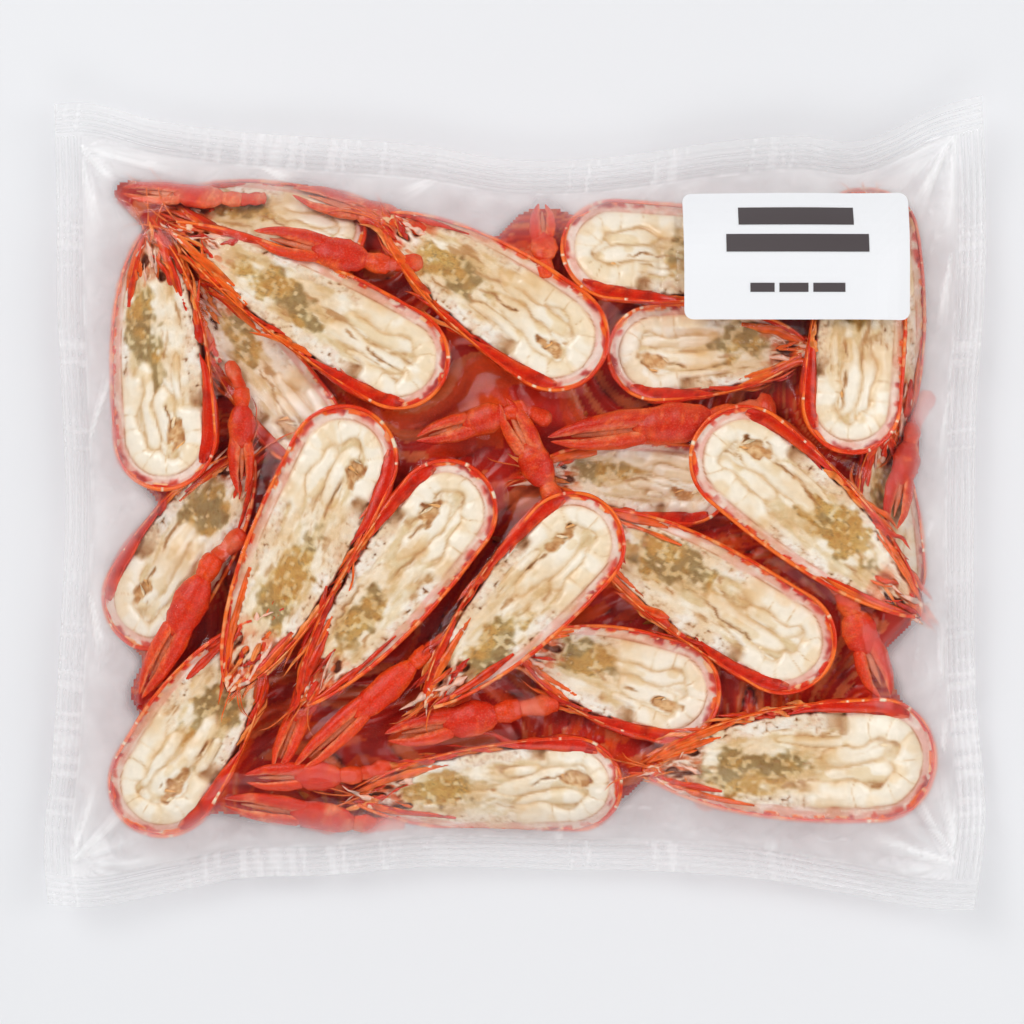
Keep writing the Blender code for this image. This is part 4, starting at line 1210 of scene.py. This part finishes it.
# The label's print.

# Bars in millimetres: from the label's left edge and from its top edge, then height and width.
PRINT_BARS = (
    (18.2, 5.0, 6.0, 38.3), (14.0, 14.2, 6.0, 47.3), (21.8, 30.6, 3.0, 8.0), (31.4, 30.6, 3.0, 9.6),
    (42.6, 30.6, 3.0, 10.6))
# In millimetres: the gap from the film's level to the label, the label's thickness, and the
# print's height over the label.
LABEL_GAP, LABEL_THICK, PRINT_LIFT = 0.35, 0.3, 0.16


def label_print(material):
    """Plain dark bars where print would be, lying on the label."""
    gather = Gather()
    left, top = LABEL_CENTRE[0] - LABEL_SIZE[0] / 2, LABEL_CENTRE[1] + LABEL_SIZE[1] / 2
    for start, down, tall, wide in PRINT_BARS:
        across, up = np.linspace(0.0, 1.0, 25), np.linspace(0.0, 1.0, 7)
        gx, gy = np.meshgrid(left + start + wide * across, top - down - tall * up, indexing="ij")
        height = level(gx, gy) + LABEL_GAP + LABEL_THICK + PRINT_LIFT
        gather.sheet(np.stack([gx, gy, height], -1), INK, 0.5, 0.2)
    return gather.make("label_print", material, "label")


# The layers under the top one, and the whole pack.

# Middles of the lower halves in plan, and how far the rows are set off, in turn right and left.
LOWER_ROWS, LOWER_COLUMNS, LOWER_SHIFT = (-86, -50, -14, 22, 58, 90), (-92, 0, 92), 17.6
# The pack's thickness above which a second layer fits, and the height that its halves lie at.
SECOND_ROOM, LOWER_LEVEL = 14.0, 16.5
# How many lower claws are tried, and the numbers that the lower pieces' random looks start from.
LOWER_CLAWS, LOWER_HALF_SEED, LOWER_CLAW_SEED = 18, 300, 700
# The bed: its reach each way and how close its points lie, its middling height, how deep below the
# film it stays, and its height over the lower film.
BED_LONG, BED_DEEP, BED_STEP = 142, 112, 0.9
BED_LEVEL, BED_UNDER_FILM, BED_LIFT = 13.0, 12.0, 0.6


def under_cover():
    """1 where the top layer lies, or close beside it, and 0 in the empty corners."""
    out = np.full_like(MAP_X, 99.0)
    for centre, radius, head, full, *_ in HALVES:
        out = np.minimum(out, half_outside(MAP_X, MAP_Y, centre, radius, head, full))
    for tip, wrist, width, *_ in CLAWS:
        out = np.minimum(out, claw_outside(MAP_X, MAP_Y, tip, wrist) - 0.5 * width)
    for rounds, pick in ((11, np.minimum), (13, np.maximum)):
        for _ in range(rounds):
            wide = np.pad(out, 1, mode="edge")
            near = pick.reduce((wide[:-2, 1:-1], wide[2:, 1:-1], wide[1:-1, :-2], wide[1:-1, 2:]))
            out = pick(out, near)
    return Field(soften((out < 1.0).astype(float), 3))


def lower_layer():
    """Halves and claws under the top ones: what shows between them and below."""
    cut, shell = Gather(), Gather()
    rng = np.random.default_rng(17)
    cover = under_cover()
    cover.values = cover.values * (_over - _under > SECOND_ROOM)
    spots = []
    for j, y in enumerate(LOWER_ROWS):
        for x in LOWER_COLUMNS:
            aside = LOWER_SHIFT if j % 2 else -LOWER_SHIFT
            spots.append((x + aside + rng.uniform(-6, 6), y + rng.uniform(-5, 5)))
    for k, (x, y) in enumerate(spots):
        turn = np.radians(rng.uniform(-22, 22) + (180 if rng.random() < 0.5 else 0))
        long = rng.uniform(66, 76)
        mid = np.array((x, y))
        direction = np.array((np.cos(turn), np.sin(turn)))
        centre, head = mid - direction * long * 0.40, mid + direction * long * 0.60
        cx, cy = keep_inside(centre[0], centre[1], 22.0)
        hx, hy = keep_inside(head[0], head[1], 12.0)
        ring = np.linspace(0.0, 2.0 * np.pi, 9)
        if min(cover(cx + 16.0 * np.cos(ring), cy + 16.0 * np.sin(ring)).min(), cover(hx, hy)) < 0.5:
            continue
        half = Half((cx, cy), rng.uniform(15.5, 17.5), (hx, hy), 2.5, 1 if rng.random() < 0.5 else -1)
        base = LOWER_LEVEL + rng.uniform(-1.5, 1.0)
        half_face(cut, half, 0.0, LOWER_HALF_SEED + k, k % 2, 1.5, base)
        half_hull(shell, half, 0.0, LOWER_HALF_SEED + k, base, 22, 2.2, 14.5)
        half_limbs(shell, half, 0.0, LOWER_HALF_SEED + k, 0.5, base)
    for k in range(LOWER_CLAWS):
        x, y = keep_inside(rng.uniform(-135, 135), rng.uniform(-105, 100), 10)
        turn = rng.uniform(0, 2 * np.pi)
        long = rng.uniform(28, 40)
        tip = (x + np.cos(turn) * long, y + np.sin(turn) * long)
        if min(cover(np.array(x), np.array(y)), cover(np.array(tip[0]), np.array(tip[1]))) < 0.5:
            continue
        claw(shell, tip, (x, y), rng.uniform(9, 12), 0.0, rng.uniform(0, 0.4), rng.uniform(-30, 30),
             LOWER_CLAW_SEED + k, rng.uniform(18, 24))
    return cut, shell


def bed(material):
    """Loose shell packed close under the top layer, wherever there is food over it."""
    inside = Field(soften(under_cover().values * ease(8.0, 13.0, _over - _under), 14))
    gather = Gather()
    x, y = np.meshgrid(np.arange(-BED_LONG, BED_LONG, BED_STEP), np.arange(-BED_DEEP, BED_DEEP, BED_STEP),
                       indexing="ij")
    lean = 2.5 * cloud(x / 40.0, y / 40.0, 5)
    along, across = x * np.cos(lean) + y * np.sin(lean), -x * np.sin(lean) + y * np.cos(lean)
    first, _, mark = lumps(along / 13.0, across / 3.6, 6)
    ridge = np.sqrt(np.clip(1.0 - (first / 0.85) ** 2, 0.0, 1.0))
    colour = mix(BED_RED, BED_ORANGE, ease(0.3, 0.8, mark))
    colour = mix(colour, BED_PALE, (mark > 0.82) * 0.9)
    # Painted shade: dark between the ridges of the loose pieces.
    colour = mix(BED_SHADE, colour, ease(0.0, 0.6, ridge))
    room = np.clip(ease(0.30, 0.95, inside(x, y)), 0.0, 1.0)
    z = BED_LEVEL + 3.0 * cloud(x / 14.0, y / 14.0, 9) + 3.0 * ridge
    z = np.clip(z, None, over(x, y) - BED_UNDER_FILM)
    z = under(x, y) + BED_LIFT + np.maximum(z - under(x, y) - BED_LIFT, 0.0) * room
    gather.sheet(np.stack([x, y, z], -1), colour, 0.3, 0.2)
    faces = gather.faces[0]
    keep = (room.ravel()[faces] > 0.0).all(1)
    gather.faces[0] = faces[keep]
    piece = gather.make("loose_shell", material, "shell")
    # How thickly the loose legs may lie: none near the seams, where the film comes down.
    to_side, to_end = inside_seam(x, y)
    thick = ease(22.0, 26.0, np.minimum(to_side, to_end)) * ease(0.90, 1.0, room)
    piece.data.attributes.new("leg_cover", "FLOAT", "POINT").data.foreach_set(
        "value", thick.astype(np.float32).ravel())
    return piece


def leg_scatter(material):
    """A node tree that lays small bent legs over a surface, thickest where leg_cover is 1."""
    tree = bpy.data.node_groups.new("scattered legs", "GeometryNodeTree")
    face = tree.interface
    face.new_socket("Surface", in_out="INPUT", socket_type="NodeSocketGeometry")
    for title, kind, value in (("Legs per square metre", "NodeSocketFloat", LEGS_PER_SQUARE_METRE),
                               ("Length", "NodeSocketFloat", LOOSE_LEG_LENGTH * MM),
                               ("Thickness", "NodeSocketFloat", LOOSE_LEG_THICKNESS * MM),
                               ("Seed", "NodeSocketInt", 17)):
        face.new_socket(title, in_out="INPUT", socket_type=kind).default_value = value
    face.new_socket("Legs", in_out="OUTPUT", socket_type="NodeSocketGeometry")
    given = node(tree, "NodeGroupInput").outputs

    # One leg: a low arc with a round section that thins towards its tip.
    half_long = arithmetic(tree, "MULTIPLY", given["Length"], 0.5)
    back = arithmetic(tree, "MULTIPLY", given["Length"], -0.5)
    bend = arithmetic(tree, "MULTIPLY", given["Length"], 0.22)
    rise_up = arithmetic(tree, "MULTIPLY", given["Length"], 0.03)
    start = node(tree, "ShaderNodeCombineXYZ", {"X": back})
    middle = node(tree, "ShaderNodeCombineXYZ", {"Y": bend, "Z": rise_up})
    end = node(tree, "ShaderNodeCombineXYZ", {"X": half_long})
    arc = node(tree, "GeometryNodeCurveQuadraticBezier",
               {"Resolution": 7, "Start": start.outputs[0], "Middle": middle.outputs[0],
                "End": end.outputs[0]})
    along = node(tree, "GeometryNodeSplineParameter").outputs["Factor"]
    taper = node(tree, "ShaderNodeMapRange", {"Value": along, "To Min": 1.0, "To Max": 0.25}).outputs[0]
    arc = node(tree, "GeometryNodeSetCurveRadius", {"Curve": arc.outputs[0], "Radius": taper})
    ring = node(tree, "GeometryNodeCurvePrimitiveCircle",
                {"Resolution": 6, "Radius": arithmetic(tree, "MULTIPLY", given["Thickness"], 0.5)})
    settings = {"Curve": arc.outputs[0], "Profile Curve": ring.outputs[0], "Fill Caps": True}
    leg = node(tree, "GeometryNodeCurveToMesh", settings)
    if "Scale" in leg.inputs:
        tree.links.new(taper, leg.inputs["Scale"])

    # Laid on the surface, turned all ways and of mixed sizes.
    cover = node(tree, "GeometryNodeInputNamedAttribute", {"Name": "leg_cover"},
                 data_type="FLOAT").outputs[0]
    density = arithmetic(tree, "MULTIPLY", given["Legs per square metre"], cover)
    spots = node(tree, "GeometryNodeDistributePointsOnFaces",
                 {"Mesh": given["Surface"], "Density": density, "Seed": given["Seed"]})
    spots = node(tree, "GeometryNodeSetPosition",
                 {"Geometry": spots.outputs["Points"], "Offset": (0.0, 0.0, -LOOSE_LEG_SUNK * MM)})
    turn = node(tree, "FunctionNodeRandomValue", {"Min": (-0.05, -0.05, 0.0), "Max": (0.05, 0.05, 6.283),
                                                  "Seed": given["Seed"]}, data_type="FLOAT_VECTOR")
    size = random_share(tree, 0.6, 1.2, 31)
    legs = node(tree, "GeometryNodeInstanceOnPoints",
                {"Points": spots.outputs[0], "Instance": leg.outputs[0],
                 "Rotation": turn.outputs[0], "Scale": size})

    # Each leg's own red, and the finish that the shell's material reads.
    red = node(tree, "ShaderNodeCombineXYZ", {"X": random_share(tree, 0.50, 0.86, 41),
                                              "Y": random_share(tree, 0.012, 0.17, 43),
                                              "Z": random_share(tree, 0.001, 0.02, 45)}).outputs[0]
    kept = legs.outputs[0]
    for title, value in (("tint", red), ("finish", (0.25, 0.3, 0.0))):
        kept = node(tree, "GeometryNodeStoreNamedAttribute",
                    {"Geometry": kept, "Name": title, "Value": value},
                    data_type="FLOAT_VECTOR", domain="INSTANCE").outputs[0]
    kept = node(tree, "GeometryNodeRealizeInstances", {"Geometry": kept}).outputs[0]
    kept = node(tree, "GeometryNodeSetShadeSmooth", {"Geometry": kept}).outputs[0]
    kept = node(tree, "GeometryNodeSetMaterial", {"Geometry": kept, "Material": material}).outputs[0]
    node(tree, "NodeGroupOutput", {"Legs": kept})
    return tree


def random_share(tree, low, high, seed):
    """A random number for each piece that a tree makes."""
    made = node(tree, "FunctionNodeRandomValue", data_type="FLOAT")
    for title, value in (("Min", low), ("Max", high), ("Seed", seed)):
        socket = [s for s in made.inputs if s.name == title and s.enabled][0]
        socket.default_value = value
    return [s for s in made.outputs if s.enabled][0]


def loose_legs(surface, material):
    """Small legs lying loose on the bed, as one plain mesh."""
    carrier = bpy.data.objects.new("leg carrier", surface.data.copy())
    bpy.context.scene.collection.objects.link(carrier)
    scatterer = carrier.modifiers.new("scattered legs", "NODES")
    scatterer.node_group = leg_scatter(material)
    evaluated = carrier.evaluated_get(bpy.context.evaluated_depsgraph_get())
    mesh = bpy.data.meshes.new_from_object(evaluated)
    bpy.data.objects.remove(carrier)
    mesh.materials.clear()
    mesh.materials.append(material)
    mesh.polygons.foreach_set("material_index", np.zeros(len(mesh.polygons), np.int32))
    piece = bpy.data.objects.new("loose_legs", mesh)
    bpy.context.scene.collection.objects.link(piece)
    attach(piece, "root")
    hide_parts("bag")
    return piece


def build():
    """Every piece of the pack with its finish."""
    flesh = food_finish("cooked meat", 420.0, 2200.0, 0.20, 0.40, 0.0)
    shell = food_finish("cooked shell", 350.0, 1400.0, 0.50, 0.32, 0.35)
    film = film_finish()
    paper = plain_finish("label paper", PAPER, 0.5, 0.25)
    ink = plain_finish("label ink", INK, 0.5)

    for i, (centre, radius, head, full, drop, fan, filled) in enumerate(HALVES):
        half = Half(centre, radius, head, full, fan)
        cut, hard = Gather(), Gather()
        seed = 11 + 7 * i
        half_face(cut, half, drop, seed, filled)
        half_hull(hard, half, drop, seed)
        half_rim(hard, half, drop, seed)
        half_limbs(hard, half, drop, seed)
        cut.make(f"half_{i + 1:02d}_cut_face", flesh, "flesh")
        hard.make(f"half_{i + 1:02d}_shell", shell, "shell")
    claws = Gather()
    for i, (tip, wrist, width, top, pale, turn) in enumerate(CLAWS):
        claw(claws, tip, wrist, width, top, pale, turn, 40 + i)
    claws.make("claws", shell, "shell")
    cut, hard = lower_layer()
    cut.make("lower_halves_cut_faces", flesh, "flesh")
    hard.make("lower_halves_and_claws", shell, "shell")
    loose_legs(bed(shell), shell)
    upper_film(film)
    lower_film(film)
    label_print(ink)
    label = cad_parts["label"]
    label.data.materials.clear()
    label.data.materials.append(paper)


def light(name, place, size, power):
    """A soft rectangular lamp that faces the middle of the pack."""
    lamp = bpy.data.lights.new(name, "AREA")
    lamp.shape = "RECTANGLE"
    lamp.size, lamp.size_y = size
    lamp.energy = power
    thing = bpy.data.objects.new(name, lamp)
    bpy.context.scene.collection.objects.link(thing)
    thing.location = place
    thing.rotation_euler = (-Vector(place)).to_track_quat("-Z", "Y").to_euler()


# The ground's half width and how far below the pack it lies, in metres.
GROUND_REACH, GROUND_DOWN = 3.0, 0.0002
# Lamps: name, place and size in metres, power in watts.
LAMPS = (("window", (-1.30, 1.20, 1.80), (1.3, 1.3), 37.5),
         ("right fill", (1.70, 0.25, 1.70), (1.3, 1.6), 23.5),
         ("front fill", (0.15, -1.70, 1.65), (1.8, 1.1), 19.0))
# The room's light at the horizon, and above the height where it is darkest.
ROOM_LOW, ROOM_HIGH, ROOM_TOP = 0.82, 0.05, 0.75
# The camera's place in metres, its lens and sensor in millimetres.
CAMERA_PLACE, CAMERA_LENS, CAMERA_SENSOR = (-0.97 * MM, -3.2 * MM, 1.2), 123.93, 36.0


def stage():
    """Pale ground, soft room, three lamps and the camera straight above."""
    mesh = bpy.data.meshes.new("ground")
    r, z = GROUND_REACH, -GROUND_DOWN
    mesh.from_pydata([(-r, -r, z), (r, -r, z), (r, r, z), (-r, r, z)], [], [(0, 1, 2, 3)])
    ground = bpy.data.objects.new("ground", mesh)
    ground.data.materials.append(plain_finish("pale ground", GROUND, 0.6))
    bpy.context.scene.collection.objects.link(ground)

    # The room is bright all round and darker overhead, so the flat film shows no veil.
    world = bpy.data.worlds.new("soft room light")
    world.use_nodes = True
    tree = world.node_tree
    way = node(tree, "ShaderNodeTexCoord").outputs["Generated"]
    height = node(tree, "ShaderNodeSeparateXYZ", {0: way}).outputs["Z"]
    bright = node(tree, "ShaderNodeMapRange",
                  {0: height, 1: 0.0, 2: ROOM_TOP, 3: ROOM_LOW, 4: ROOM_HIGH}).outputs[0]
    tree.links.new(bright, tree.nodes["Background"].inputs["Strength"])
    tree.nodes["Background"].inputs["Color"].default_value = (1.0, 1.0, 1.0, 1.0)
    bpy.context.scene.world = world
    for lamp in LAMPS:
        light(*lamp)
    bpy.context.scene.view_settings.view_transform = "Standard"

    camera = bpy.data.cameras.new("from above")
    camera.lens, camera.sensor_width = CAMERA_LENS, CAMERA_SENSOR
    camera.clip_start, camera.clip_end = 0.05, 20.0
    eye = bpy.data.objects.new("from above", camera)
    bpy.context.scene.collection.objects.link(eye)
    eye.location = CAMERA_PLACE
    bpy.context.scene.camera = eye


build()
stage()
